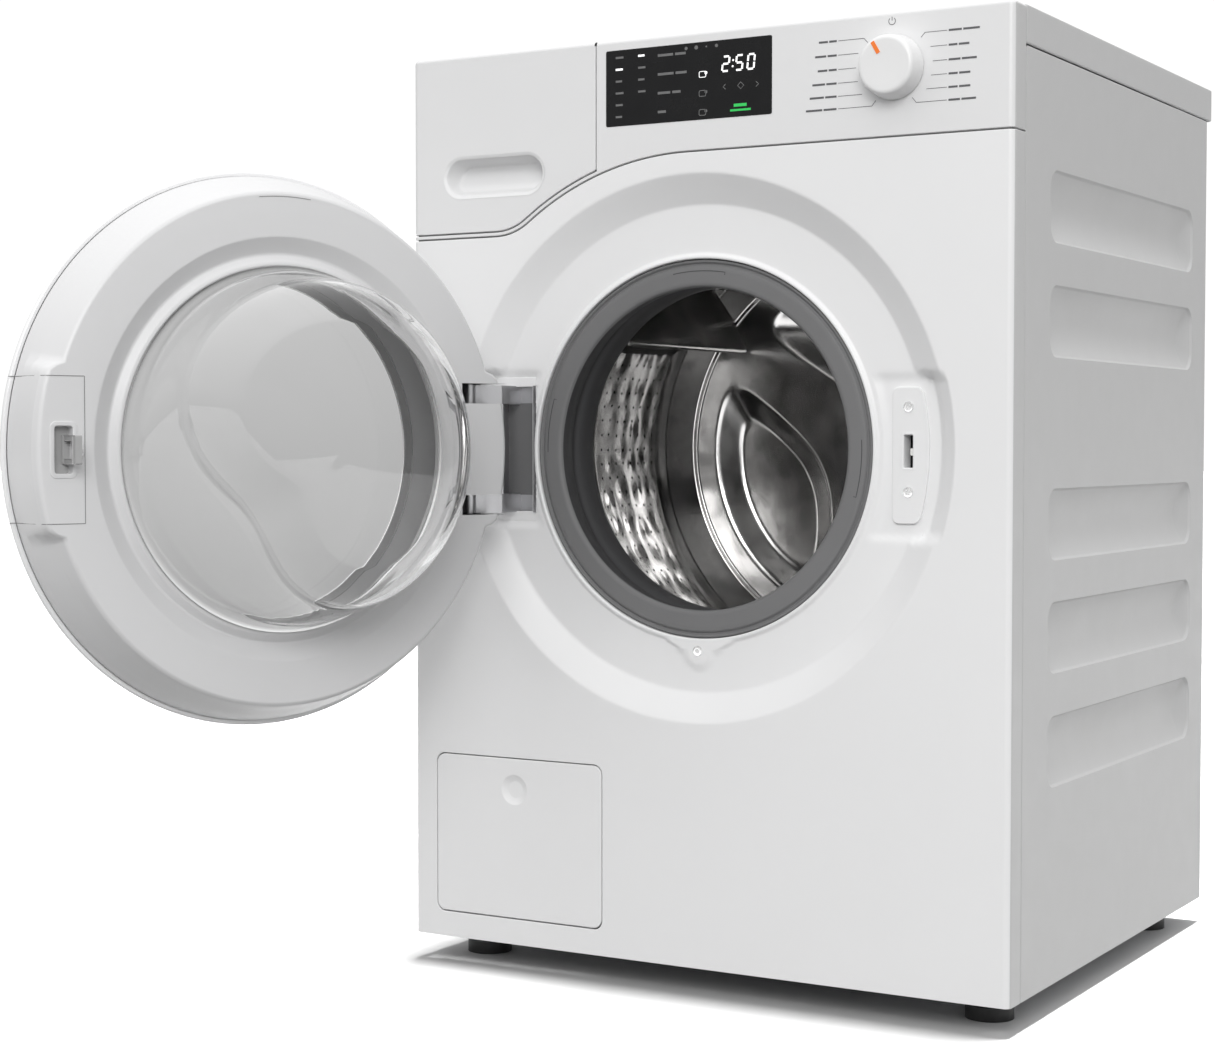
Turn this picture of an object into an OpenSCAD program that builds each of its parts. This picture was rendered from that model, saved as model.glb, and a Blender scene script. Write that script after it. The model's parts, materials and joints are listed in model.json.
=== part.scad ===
// Front load washing machine, free standing, door on the left.
// X to the right, Y from the front face to the back, Z up from the floor.
// The origin is on the floor, under the middle of the front face.

/* [Cabinet] */
// Width over the side panels
body_w = 596; // [560:1:760]
// Height from the floor to the worktop
body_h = 850; // [830:1:1050]
// Depth from the front face to the rear edge of the lid
body_d = 563; // [555:1:700]
// Height of the lid
lid_h = 32; // [25:1:45]
// How far the lid stands over the rear panel
lid_overhang = 16; // [8:1:25]
// Thickness of the steel sheet
sheet_t = 1; // [0.8:0.1:2]
// Height of the side and front panels over the floor
skirt_z = 25; // [18:1:32]
// Radius of the front panel's upright edges
edge_r = 11; // [6:1:16]
// How far the front panel wraps round the sides
wrap_d = 26; // [20:1:34]

/* [Port and door] */
// Height of the drum axis and the door centre
axis_z = 485; // [475:1:495]
// Radius of the door's outer rim
door_r = 237; // [225:1:240]
// Radial gap between the door rim and the edge of the recess
recess_gap = 4.6; // [3:0.1:10]
// Depth of the recess floor behind the front face
recess_depth = 15; // [12:1:18]
// Radius of the port in the front panel
port_r = 168; // [166:1:172]
// Width of the sloping step round the recess
step_w = 12; // [8:1:13]
// How far the door stands out of the front face at its rim
door_stand = 39.5; // [39:0.5:46]
// How much the door's face domes beyond its rim
door_dome = 6; // [2:0.5:10]
// Distance of the hinge pins from the door's centre
hinge_x = 215; // [213:1:217]
// Distance of the hinge pins in front of the front face
hinge_y = 29.5; // [28:0.5:31]
// Radius of a hinge pin
hinge_pin_r = 3; // [2.5:0.1:3.5]
// Distance between the two hinge arms
arm_pitch = 100; // [90:1:110]
// Width of a hinge arm
arm_w = 17; // [12:1:20]
// Angle at which the door is drawn
door_open = 110.7; // [0:0.1:115]
// Depth of the glass bowl behind the front face
bowl_depth = 104; // [80:1:112]

/* [Control panel and drawer] */
// Height of the seam under the drawer
seam_z = 681; // [670:1:690]
// How far the seam rises to the right of the drawer
seam_rise = 65; // [50:1:66]
// Radius of the seam's lower bend
seam_r_low = 60; // [50:1:80]
// Radius of the seam's upper bend
seam_r_high = 280; // [260:1:300]
// Width of the drawer front
drawer_w = 200; // [190:1:215]
// How wide the fascia strip under the drawer is
strip_w = 5; // [4:0.5:8]
// Gap round the drawer front and under the lid
seam_gap = 1.5; // [0.8:0.1:2.5]
// Depth of the drawer tray
tray_d = 270; // [200:1:280]
// Height of the drawer tray
tray_h = 50; // [40:1:52]
// Radius of the programme dial at its base
dial_r = 27; // [20:1:30]
// How far the dial stands out
dial_stand = 20; // [14:1:26]
// Width of the display window
display_w = 165; // [120:1:180]
// Height of the display window
display_h = 67; // [50:1:68]

/* [Tub and drum] */
// Inner radius of the drum
drum_r = 233; // [215:1:236]
// Thickness of the drum's steel
drum_t = 1.5; // [1:0.1:2]
// Length of the drum
drum_l = 305; // [260:1:308]
// Radial room between the drum and the tub
tub_room = 14; // [12:1:16]
// Wall of the tub
tub_t = 3; // [2.5:0.5:4]
// Radius of the drum's mouth
mouth_r = 158; // [150:1:165]
// Height of a drum lifter
lifter_h = 58; // [40:1:64]
// Turn of the first lifter about the drum axis, from the top
lifter_turn = 66; // [0:1:120]
// Radius of the drum shaft
shaft_r = 12.5; // [10:0.5:14]
// Running clearance of shafts and pins
run_fit = 0.05; // [0.02:0.01:0.1]
// Radius of the drum pulley
pulley_r = 150; // [120:1:160]
// Radius of the motor pulley
motor_pulley_r = 12; // [10:1:20]

/* [Base] */
// Radius of a foot's pad
foot_r = 21; // [16:1:26]
// Height of a foot's pad
foot_h = 12; // [8:1:16]
// Radius of a foot's stud
stud_r = 5; // [4:0.5:6]
// Distance of the feet from the side panels
foot_inset = 42; // [34:1:60]
// Width of the service flap
flap_w = 180; // [150:1:190]
// Height of the service flap
flap_h = 152; // [130:1:158]
// Radius of the drain filter's knob
filter_r = 26; // [20:1:30]

/* [Hidden] */
$fn = 96;

half_w = body_w / 2;
rear_y = body_d - lid_overhang;
lid_z = body_h - lid_h;
inner_w = body_w - 2 * sheet_t;

// Recess and port
recess_r = door_r + recess_gap;
floor_r = recess_r - step_w;
port_lip = 4;

// Door, drawn closed and then turned open about the hinge pins
frame_y = recess_depth - 3;
frame_r = door_r - 20;
bulge_r = door_r - 12;
bulge_h = 146;
cover_t = 2.5;
frame_t = 2.5;
window_r = 150;
glass_r = 160;
glass_t = 4;
arm_gap = 1;
arm_eye_r = 6;
arm_half = 4;
arm_lean = 35;
arm_reach = 30;
slot_in = 38;
pin_l = arm_w + 20;
plate_x = 184;
plate_w = 30;
plate_h = 117;
hook_x = 200;
hook_y = -4;
hook_t = 5;
hook_h = 24;
hook_reach = 34;
hook_pin_r = 1.6;
lock_slot_w = 16;
lock_slot_h = 33;

// Control panel
seam_turn = acos(1 - seam_rise / (seam_r_low + seam_r_high));
seam_x0 = -205;
seam_x1 = seam_x0 + (seam_r_low + seam_r_high) * sin(seam_turn);
drawer_right = -half_w + drawer_w;
fascia_t = 2.5;
display_x = -4;
display_z = body_h - 43.5;
dial_x = half_w - 106;
dial_z = body_h - 47;
dial_shaft_r = 3;
handle_x = drawer_right - 109.5;
handle_z = seam_z + 56;
handle_h = 32;
handle_w = 106;
handle_d = 17;
tray_z = lid_z - 10 - tray_h;
tray_x0 = -half_w + 17;
tray_w = 172;
tray_wall = 2;

// Tub and drum, all round the drum axis
drum_y = 95;
drum_back = drum_y + drum_l;
tub_ri = drum_r + drum_t + tub_room;
tub_ro = tub_ri + tub_t;
tub_y = 80;
tub_split = 255;
tub_back = drum_back + 25;
neck_r = 178;
neck_y = 66;
bearing_r_front = 31;
bearing_r_rear = 26;
bearing_w_front = 17;
bearing_w_rear = 15;
hub_y0 = drum_back + 12;
hub_y1 = hub_y0 + 46;
pulley_y = hub_y1 + 8;
pulley_w = 20;
motor_z = 165;
motor_r = 52;
rotor_r = 28;
motor_y0 = 300;
motor_y1 = pulley_y - 26;
belt_t = 3;
belt_w = 14;
belt_gap = 0.4;
brace_y = 310;
brace_h = 24;
spring_r = 12;
spring_x = tub_ro - 20;
lug_z = axis_z + 190;
lug_h = 8;

// Dampers, from the base pan up to the tub
damper_y = 300;
damper_low = [175, 72];
damper_high = [110, 236];
damper_l = norm(damper_high - damper_low);
damper_tilt = atan2(damper_low[0] - damper_high[0], damper_high[1] - damper_low[1]);
damper_pin_r = 5;
damper_eye_r = 10;
damper_tube_r = 15;
rod_r = 5;
open_gap = 0.6;

// Base and drain
pan_z = skirt_z + 1;
pan_t = 2;
pan_rim = 18;
foot_y = [65, rear_y - 55];
foot_x = half_w - foot_inset;
flap_x0 = -272;
flap_z0 = 47;
flap_t = 3;
flap_gap = 1;
flap_gap_low = 2.5;
flap_pin_z = flap_z0 + 5;
flap_pin_y = 5;
flap_pin_r = 2.5;
pump_x = flap_x0 + 86;
pump_z = 110;
pump_wall = 5;
filter_fit = 2;
pump_back = 118;
impeller_r = 18;
hose_r = 16;
sump_x = -105;
sump_y = 150;

// Rear face
cover_r = 190;
cover_bulge = 22;
transit_x = 215;
transit_z = 150;
transit_r = 6;
inlet_x = -170;
inlet_z = lid_z - brace_h - 24;
inlet_r = 13.2;
collar = 1.5;
drain_x = -200;
drain_z = 140;
drain_r = 11;
mains_x = 210;
mains_z = 140;
mains_r = 9;
screw_r = 2;
screw_head_r = 4;
screw_head_h = 1.5;
cover_screws = 6;

// ---- Helpers ----

// A solid of revolution about the drum axis, from a list of [radius, y]
module revolve(points) {
    translate([0, 0, axis_z])
        rotate([-90, 0, 0])
            rotate_extrude($fn = 180)
                polygon(points);
}

// A cylinder along Y
module y_rod(r, y0, y1) {
    translate([0, y0, 0])
        rotate([-90, 0, 0])
            cylinder(r = r, h = y1 - y0);
}

// A tube along Y
module y_tube(r_in, r_out, y0, y1) {
    difference() {
        y_rod(r_out, y0, y1);
        y_rod(r_in, y0 - 1, y1 + 1);
    }
}

// A box from its low corner to its high corner
module box(low, high) {
    translate(low)
        cube(high - low);
}

// A slab along Y, from an outline in X and Z
module slab(y0, y1) {
    translate([0, y1, 0])
        rotate([90, 0, 0])
            linear_extrude(y1 - y0)
                children();
}

// A flat outline with round ends, lying along X
module stadium(w, h) {
    square([w - h, h], center = true);
    for (side = [-1, 1])
        translate([side * (w - h) / 2, 0])
            circle(d = h);
}

// The outline of the cabinet's front, seen from above, with rounded upright edges
module front_outline(inset) {
    r = edge_r - inset;
    difference() {
        union() {
            translate([-half_w + edge_r, inset])
                square([body_w - 2 * edge_r, wrap_d - inset]);
            translate([-half_w + inset, edge_r])
                square([body_w - 2 * inset, wrap_d - edge_r]);
            for (side = [-1, 1])
                translate([side * (half_w - edge_r), edge_r])
                    circle(r = r);
        }
        translate([-half_w, wrap_d])
            square([body_w, body_w]);
    }
}

// The front's skin between two heights
module front_skin(z0, z1, t) {
    translate([0, 0, z0])
        linear_extrude(z1 - z0)
            difference() {
                front_outline(0);
                intersection() {
                    front_outline(t);
                    translate([-half_w, 0])
                        square([body_w, wrap_d]);
                }
            }
}

// The front's whole thickness between two heights
module front_block(z0, z1) {
    translate([0, 0, z0])
        linear_extrude(z1 - z0)
            front_outline(0);
}

// Points of the seam between the panel and the fascia, shifted up by lift
function seam_points(lift) = concat(
    [for (i = [0:8]) let (a = seam_turn * i / 8)
        [seam_x0 + (seam_r_low - lift) * sin(a), seam_z + seam_r_low - (seam_r_low - lift) * cos(a)]],
    [for (i = [11:-1:0]) let (a = seam_turn * i / 12)
        [seam_x1 - (seam_r_high + lift) * sin(a),
            seam_z + seam_rise - seam_r_high + (seam_r_high + lift) * cos(a)]]);

// Everything above the seam, as an outline in X and Z
module above_seam(lift) {
    polygon(concat([[-half_w - 1, seam_z + lift]], seam_points(lift),
        [[half_w + 1, seam_z + seam_rise + lift], [half_w + 1, body_h + 1], [-half_w - 1, body_h + 1]]));
}

// The drawer front's outline, grown by a gap
module drawer_outline(gap) {
    intersection() {
        above_seam(strip_w - gap);
        translate([-half_w - 1, seam_z])
            square([drawer_w + 1 + gap, body_h - seam_z + 1]);
    }
}

// A copy turned about the hinge pins to the door's drawn angle
module opened() {
    translate([-hinge_x, -hinge_y, 0])
        rotate([0, 0, -door_open])
            translate([hinge_x, hinge_y, 0])
                children();
}

// ---- Cabinet ----

module base_pan() {
    color("silver")
    difference() {
        union() {
            box([-inner_w / 2, wrap_d + 4, pan_z], [inner_w / 2, rear_y - sheet_t, pan_z + pan_t]);
            difference() {
                box([-inner_w / 2, wrap_d + 4, pan_z], [inner_w / 2, rear_y - sheet_t, pan_z + pan_rim]);
                box([-inner_w / 2 + 3, wrap_d + 7, pan_z - 1],
                    [inner_w / 2 - 3, rear_y - sheet_t - 3, pan_z + pan_rim + 1]);
            }
            for (x = [-foot_x, foot_x], y = foot_y)
                translate([x, y, pan_z])
                    cylinder(r = stud_r + 12, h = pan_rim);
            for (side = [-1, 1]) {
                for (y = [damper_y - 16, damper_y + 11])
                    box([side * damper_low[0] - 12, y, pan_z], [side * damper_low[0] + 12, y + 5, damper_low[1] + 10]);
                translate([side * damper_low[0], 0, damper_low[1]])
                    y_rod(damper_pin_r - run_fit, damper_y - 20, damper_y + 20);
            }
        }
        for (x = [-foot_x, foot_x], y = foot_y)
            translate([x, y, pan_z - 1])
                cylinder(r = stud_r + run_fit, h = pan_rim + 2);
    }
}

// A side panel's grip pockets, as outlines in Y and Z
pocket_z = [226, 324, 421, 594, 691];
pocket_h = 60;
pocket_y = [86, 501];
pocket_depth = 4;

module pockets(x, t, grow) {
    for (z = pocket_z)
        translate([x, (pocket_y[0] + pocket_y[1]) / 2, z])
            rotate([90, 0, 90])
                linear_extrude(t)
                    stadium(pocket_y[1] - pocket_y[0] + 2 * grow, pocket_h + 2 * grow);
}

module side_panel() {
    difference() {
        union() {
            box([half_w - sheet_t, wrap_d + 0.5, skirt_z], [half_w, rear_y, lid_z - seam_gap]);
            box([half_w - 14, wrap_d + 0.5, lid_z - seam_gap - sheet_t],
                [half_w, rear_y - sheet_t - 1, lid_z - seam_gap]);
            pockets(half_w - pocket_depth - sheet_t, pocket_depth + sheet_t / 2, sheet_t);
        }
        pockets(half_w - pocket_depth, pocket_depth + 1, 0);
    }
}

module side_panel_left() {
    color("gainsboro")
    mirror([1, 0, 0])
        side_panel();
}

module side_panel_right() {
    color("gainsboro")
    side_panel();
}

module rear_panel() {
    color("silver")
    difference() {
        box([-inner_w / 2, rear_y - sheet_t, skirt_z], [inner_w / 2, rear_y, lid_z - seam_gap]);
        translate([0, 0, axis_z])
            y_rod(cover_r - 16, rear_y - 3, rear_y + 1);
        for (x = [-transit_x, transit_x], z = [-transit_z, transit_z])
            translate([x, 0, axis_z + z])
                y_rod(transit_r, rear_y - 3, rear_y + 1);
        translate([inlet_x, 0, inlet_z])
            y_rod(inlet_r + collar, rear_y - 3, rear_y + 1);
        translate([drain_x, 0, drain_z])
            y_rod(drain_r + collar, rear_y - 3, rear_y + 1);
        translate([mains_x, 0, mains_z])
            y_rod(mains_r, rear_y - 3, rear_y + 1);
        rear_screw_places()
            y_rod(screw_r, rear_y - 3, rear_y + 1);
    }
}

module rear_screw_places() {
    for (i = [0:cover_screws - 1])
        translate([0, 0, axis_z])
            rotate([0, 60 * i + 30, 0])
                translate([cover_r - 7, 0, 0])
                    children();
}

module rear_cover() {
    color("silver")
    difference() {
        revolve([[0, rear_y + cover_bulge - sheet_t], [cover_r - 40 - sheet_t, rear_y + cover_bulge - sheet_t],
            [cover_r - 18 - sheet_t, rear_y], [cover_r, rear_y], [cover_r, rear_y + sheet_t],
            [cover_r - 18, rear_y + sheet_t], [cover_r - 40, rear_y + cover_bulge],
            [0, rear_y + cover_bulge]]);
        rear_screw_places()
            y_rod(screw_r, rear_y - 1, rear_y + 3);
    }
}

module front_panel() {
    color("white")
    difference() {
        union() {
            difference() {
                front_skin(skirt_z, seam_z + seam_rise, sheet_t);
                slab(-1, wrap_d + 1)
                    above_seam(-seam_gap / 2);
                revolve([[0, -1], [recess_r, -1], [recess_r, wrap_d], [0, wrap_d]]);
            }
            revolve([[recess_r, 0], [recess_r, sheet_t], [floor_r + 1, recess_depth + sheet_t],
                [port_r + port_lip, recess_depth + sheet_t], [port_r, recess_depth + sheet_t - 1],
                [port_r, recess_depth - 1.5], [port_r + port_lip, recess_depth], [floor_r, recess_depth]]);
            for (x = [flap_x0 - 6, flap_x0 + flap_w + 1])
                box([x, sheet_t, flap_pin_z - 6], [x + 5, sheet_t + 9, flap_pin_z + 6]);
        }
        box([flap_x0, -1, flap_z0], [flap_x0 + flap_w, sheet_t + 1, flap_z0 + flap_h]);
        translate([flap_x0 - 7, flap_pin_y, flap_pin_z])
            rotate([0, 90, 0])
                cylinder(r = flap_pin_r + run_fit, h = flap_w + 14);
        box([-hinge_x + 6, 5, axis_z - arm_pitch / 2 - 14], [-hinge_x + 43, 20, axis_z + arm_pitch / 2 + 14]);
        box([hook_x - lock_slot_w / 2, 5, axis_z - lock_slot_h / 2],
            [hook_x + lock_slot_w / 2, 20, axis_z + lock_slot_h / 2]);
        front_screw_places()
            y_rod(screw_r, 5, 20);
    }
}

// The screws of the door lock, the gasket's tab and the hinge
module front_screw_places() {
    for (p = [[hook_x, 36], [hook_x, -36], [0, -port_r - 11]])
        translate([p[0], 0, axis_z + p[1]])
            children();
}

module lid() {
    color("gainsboro")
    difference() {
        box([-half_w, wrap_d + 1, lid_z], [half_w, body_d, body_h]);
        box([-half_w + 3, wrap_d + 4, lid_z - 1], [half_w - 3, body_d - 3, body_h - 20]);
    }
}

module control_fascia() {
    color("whitesmoke")
    difference() {
        union() {
            front_skin(seam_z, body_h - fascia_t, fascia_t);
            front_block(body_h - fascia_t, body_h);
        }
        slab(-1, wrap_d + 1)
            difference() {
                translate([-half_w - 2, seam_z - 2])
                    square([body_w + 4, body_h]);
                above_seam(seam_gap / 2);
            }
        slab(-1, wrap_d + 1)
            drawer_outline(seam_gap);
        box([display_x - display_w / 2, -1, display_z - display_h / 2],
            [display_x + display_w / 2, fascia_t + 1, display_z + display_h / 2]);
        translate([dial_x, 0, dial_z])
            y_rod(dial_shaft_r + 0.5, -1, fascia_t + 1);
    }
}

module display_window() {
    color("black")
    box([display_x - display_w / 2, -0.4, display_z - display_h / 2],
        [display_x + display_w / 2, fascia_t, display_z + display_h / 2]);
}

module control_board() {
    color("green") {
        box([display_x - 95, 20, display_z - 22], [dial_x + 35, 21.6, display_z + 22]);
        for (x = [display_x + display_w / 2 + 5, dial_x + 30], z = [-16, 16])
            translate([x, 0, display_z + z])
                y_rod(3, fascia_t, 20);
    }
}

module dispenser_housing() {
    color("lightgray") {
        difference() {
            box([tray_x0 - 5, wrap_d, tray_z - 6], [tray_x0 + tray_w + 5, wrap_d + tray_d + 8, tray_z + tray_h + 5]);
            box([tray_x0 - 3, wrap_d - 1, tray_z - 4],
                [tray_x0 + tray_w + 3, wrap_d + tray_d + 5, tray_z + tray_h + 3]);
        }
        difference() {
            box([-half_w + 8, wrap_d - 2, seam_z + 22], [drawer_right - 4, wrap_d, lid_z - seam_gap]);
            box([tray_x0 - 3, wrap_d - 3, tray_z - 4],
                [tray_x0 + tray_w + 3, wrap_d + 1, tray_z + tray_h + 3]);
        }
    }
}

module cross_braces() {
    color("silver")
    for (y = [brace_y, rear_y - 40])
        difference() {
            box([-half_w + 14.5, y, lid_z - brace_h - 4], [half_w - 14.5, y + 25, lid_z - 4]);
            box([-half_w + 10, y + 2, lid_z - brace_h - 2], [half_w - 10, y + 23, lid_z]);
        }
}

module hinge_bracket() {
    color("dimgray")
    difference() {
        union() {
            box([-hinge_x + 6, recess_depth + 10, axis_z - arm_pitch / 2 - 14],
                [-hinge_x + 43, recess_depth + 13, axis_z + arm_pitch / 2 + 14]);
            for (x = [-hinge_x + 6, -hinge_x + 41])
                box([x, recess_depth, axis_z - arm_pitch / 2 - 14],
                    [x + 2, recess_depth + 10, axis_z + arm_pitch / 2 + 14]);
            for (side = [-1, 1])
                translate([0, 0, axis_z + side * arm_pitch / 2 - arm_w / 2])
                    hinge_arm();
        }
        translate([-hinge_x, -hinge_y, axis_z - arm_pitch])
            cylinder(r = hinge_pin_r + run_fit, h = 2 * arm_pitch);
    }
}

// One swan-neck arm, from the plate to the pin
module hinge_arm() {
    knee_x = -hinge_x + arm_reach * sin(arm_lean);
    knee_y = -hinge_y + arm_reach * cos(arm_lean);
    linear_extrude(arm_w) {
        translate([-hinge_x, -hinge_y])
            circle(r = arm_eye_r);
        translate([-hinge_x, -hinge_y])
            rotate(-arm_lean)
                translate([-arm_half, 0])
                    square([2 * arm_half, arm_reach]);
        translate([knee_x, knee_y])
            circle(r = arm_half);
        translate([knee_x - arm_half, knee_y])
            square([2 * arm_half, recess_depth + 10.5 - knee_y]);
    }
}

module lock_module() {
    color("whitesmoke")
    difference() {
        box([hook_x - 20, recess_depth + sheet_t, axis_z - 60], [hook_x + 18, recess_depth + 23, axis_z + 60]);
        box([hook_x - lock_slot_w / 2 - 4, recess_depth, axis_z - lock_slot_h / 2],
            [hook_x + lock_slot_w / 2 + 4, recess_depth + 21, axis_z + lock_slot_h / 2]);
        front_screw_places()
            y_rod(screw_r, 5, recess_depth + 10);
    }
}

module screws() {
    color("silver") {
        front_screw_places()
            translate([0, recess_depth, 0])
                screw(6);
        rear_screw_places()
            translate([0, rear_y + sheet_t, 0])
                mirror([0, 1, 0])
                    screw(6);
    }
}

// A screw whose head faces -Y and whose shank runs along +Y from y = 0
module screw(l) {
    y_rod(screw_head_r, -screw_head_h, 0);
    y_rod(screw_r, 0, l);
}

module inlet_valve() {
    color("white")
    translate([inlet_x, 0, inlet_z]) {
        y_rod(inlet_r + collar, rear_y - sheet_t, rear_y);
        y_rod(inlet_r, rear_y, rear_y + 14);
        y_rod(inlet_r + 6, rear_y - sheet_t - 6, rear_y - sheet_t);
        box([-14, rear_y - 60, -14], [14, rear_y - sheet_t - 6, 14]);
    }
}

module pump_housing() {
    bore = filter_r + filter_fit;
    color("dimgray")
    difference() {
        union() {
            translate([pump_x, 0, pump_z]) {
                y_rod(bore + pump_wall, 16, pump_back + 4);
                y_rod(impeller_r + 8, pump_back, pump_back + 24);
                y_rod(impeller_r + 10, pump_back + 24, pump_back + 75);
                translate([0, sump_y - 70, 0])
                    cylinder(r = hose_r, h = bore + pump_wall + 12);
            }
            box([pump_x - 20, 60, pan_z + pan_t], [pump_x + 20, 110, pump_z - bore - 2]);
        }
        translate([pump_x, 0, pump_z]) {
            y_rod(bore, 15, pump_back);
            y_rod(impeller_r + 3, pump_back - 1, pump_back + 20);
            y_rod(3 + run_fit, pump_back, pump_back + 60);
            translate([0, sump_y - 70, 0])
                cylinder(r = hose_r - 3, h = bore + pump_wall + 13);
        }
    }
}

module drain_outlet() {
    color("dimgray")
    translate([drain_x, 0, drain_z])
        difference() {
            union() {
                y_rod(drain_r + collar, rear_y - sheet_t, rear_y);
                y_rod(drain_r, rear_y, rear_y + 22);
                y_rod(drain_r + 7, rear_y - sheet_t - 4, rear_y - sheet_t);
                y_rod(drain_r, rear_y - 40, rear_y - sheet_t - 4);
            }
            y_rod(drain_r - 3, rear_y - 41, rear_y + 23);
        }
}

module mains_inlet() {
    color("black")
    translate([mains_x, 0, mains_z])
        difference() {
            union() {
                y_rod(mains_r, rear_y - sheet_t, rear_y);
                y_rod(mains_r + 4, rear_y, rear_y + 4);
                y_rod(mains_r + 4, rear_y - sheet_t - 10, rear_y - sheet_t);
            }
            y_rod(4, rear_y - 5, rear_y + 5);
        }
}

// ---- Door ----

// The outer face of the door at a radius, with a soft dome
function door_face(r) = -door_stand - door_dome * (1 - pow(r / door_r, 2));

module door_outer_cover() {
    steps = 8;
    outer = [for (i = [0:steps]) let (r = window_r + (door_r - 3 - window_r) * i / steps) [r, door_face(r)]];
    inner = [for (i = [steps:-1:0]) let (r = window_r + (door_r - 3 - window_r) * i / steps)
        [r, door_face(r) + cover_t]];
    color("white")
    opened()
        revolve(concat(outer, [[door_r, door_face(door_r) + 3], [door_r, door_face(door_r) + 6.5],
            [door_r - 3, door_face(door_r) + 6.5]], inner));
}

module door_window() {
    color("gray", 0.5)
    opened()
        revolve([[0, door_face(0)], [window_r, door_face(window_r)],
            [window_r, door_face(window_r) + cover_t], [window_r + 8, door_face(window_r) + cover_t + 0.5],
            [window_r + 8, door_face(window_r) + 2 * cover_t], [0, door_face(0) + 2 * cover_t]]);
}

// The inner frame's flank from the rim to the flat, as a closed outline
function frame_outline(flat_r) = [[glass_r - 8, frame_y - 6], [glass_r - 8, frame_y + 3], [glass_r + 6, frame_y + 3],
    [glass_r + 9, frame_y], [flat_r - 8, frame_y], [flat_r - 2, frame_y - 3], [flat_r + 1, frame_y - 9],
    [door_r - 4, -door_stand + 9], [door_r - 4, -door_stand + 6.5], [door_r - 9, -door_stand + 6.5]];

module frame_shell(flat_r) {
    revolve(concat(frame_outline(flat_r), [[flat_r - 3, frame_y - 9], [flat_r - 9, frame_y - frame_t],
        [glass_r + 11, frame_y - frame_t], [glass_r + 6, frame_y - 6]]));
}

module door_inner_frame() {
    z0 = axis_z - bulge_h / 2;
    z1 = axis_z + bulge_h / 2;
    color("lightgray")
    opened()
        difference() {
            union() {
                difference() {
                    frame_shell(frame_r);
                    box([-door_r, -door_stand - 20, z0], [door_r, frame_y + 10, z1]);
                }
                intersection() {
                    frame_shell(bulge_r);
                    box([-door_r, -door_stand - 20, z0], [door_r, frame_y + 10, z1]);
                }
                intersection() {
                    revolve(concat([[0, -door_stand + 6.5], [0, frame_y - 6]], frame_outline(bulge_r)));
                    for (side = [-1, 1], s = [-1, 1])
                        hinge_cheek(side * arm_pitch / 2 + s * (arm_w / 2 + arm_gap + 5));
                }
            }
            for (side = [-1, 1]) {
                z = axis_z + side * arm_pitch / 2;
                box([-door_r - 5, -door_stand - 5, z - arm_w / 2 - arm_gap],
                    [-hinge_x + slot_in, frame_y + 5, z + arm_w / 2 + arm_gap]);
            }
            translate([-hinge_x, -hinge_y, axis_z - arm_pitch])
                cylinder(r = hinge_pin_r, h = 2 * arm_pitch);
            box([hook_x - 9, frame_y - 10, axis_z - 19], [hook_x + 9, frame_y + 5, axis_z + 19]);
        }
}

// A cheek that holds a hinge pin beside an arm, at a height over the door's centre
module hinge_cheek(z) {
    box([-hinge_x - 12, -door_stand + 4, axis_z + z - 5], [-hinge_x + slot_in, frame_y, axis_z + z + 5]);
}

module door_glass() {
    color("lightcyan", 0.4)
    opened()
        revolve(concat([[0, bowl_depth]], bowl(0), [[glass_r - 8, frame_y - 3], [glass_r - 8, frame_y - 7]],
            [for (i = [len(bowl(glass_t)) - 1:-1:0]) bowl(glass_t)[i]], [[0, bowl_depth - glass_t]]));
}

// The bowl's wall from its nose to its rim, moved in by t
function bowl(t) = [for (i = [0:10]) let (a = 9 * i)
    [66 - t / 2 + 72 * sin(a), frame_y + 8 - t + (bowl_depth - frame_y - 8) * cos(a)]];

module hinge_pins() {
    color("silver")
    opened() {
        for (side = [-1, 1])
            translate([-hinge_x, -hinge_y, axis_z + side * arm_pitch / 2 - pin_l / 2])
                cylinder(r = hinge_pin_r, h = pin_l);
        translate([hook_x, hook_y, axis_z - hook_h / 2 - 5])
            cylinder(r = hook_pin_r, h = hook_h + 10);
    }
}

module latch_plate() {
    color("lightgray")
    opened()
        difference() {
            union() {
                box([plate_x, frame_y, axis_z - plate_h / 2], [plate_x + plate_w, frame_y + 1, axis_z + plate_h / 2]);
                for (side = [-1, 1])
                    translate([0, 0, axis_z + side * (hook_h / 2 + 3)])
                        box([hook_x - 8, hook_y - 6, -2], [hook_x + 8, frame_y, 2]);
            }
            box([hook_x - 9, frame_y - 2, axis_z - 19], [hook_x + 9, frame_y + 3, axis_z + 19]);
            translate([hook_x, hook_y, axis_z - hook_h])
                cylinder(r = hook_pin_r, h = 2 * hook_h);
        }
}

module latch_hook() {
    color("gray")
    opened()
        difference() {
            union() {
                box([hook_x - hook_t / 2, hook_y, axis_z - hook_h / 2],
                    [hook_x + hook_t / 2, hook_y + hook_reach, axis_z + hook_h / 2]);
                translate([hook_x, hook_y, axis_z - hook_h / 2])
                    cylinder(r = hook_t / 2 + 1.5, h = hook_h);
                box([hook_x, hook_y + hook_reach - 6, axis_z - hook_h / 2],
                    [hook_x + hook_t / 2 + 3, hook_y + hook_reach, axis_z + hook_h / 2]);
            }
            translate([hook_x, hook_y, axis_z - hook_h])
                cylinder(r = hook_pin_r + run_fit, h = 2 * hook_h);
            box([hook_x - 10, hook_y + 12, axis_z - hook_h / 2 + 6],
                [hook_x + 10, hook_y + hook_reach - 6, axis_z + hook_h / 2 - 6]);
        }
}

// ---- Tub ----

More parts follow.
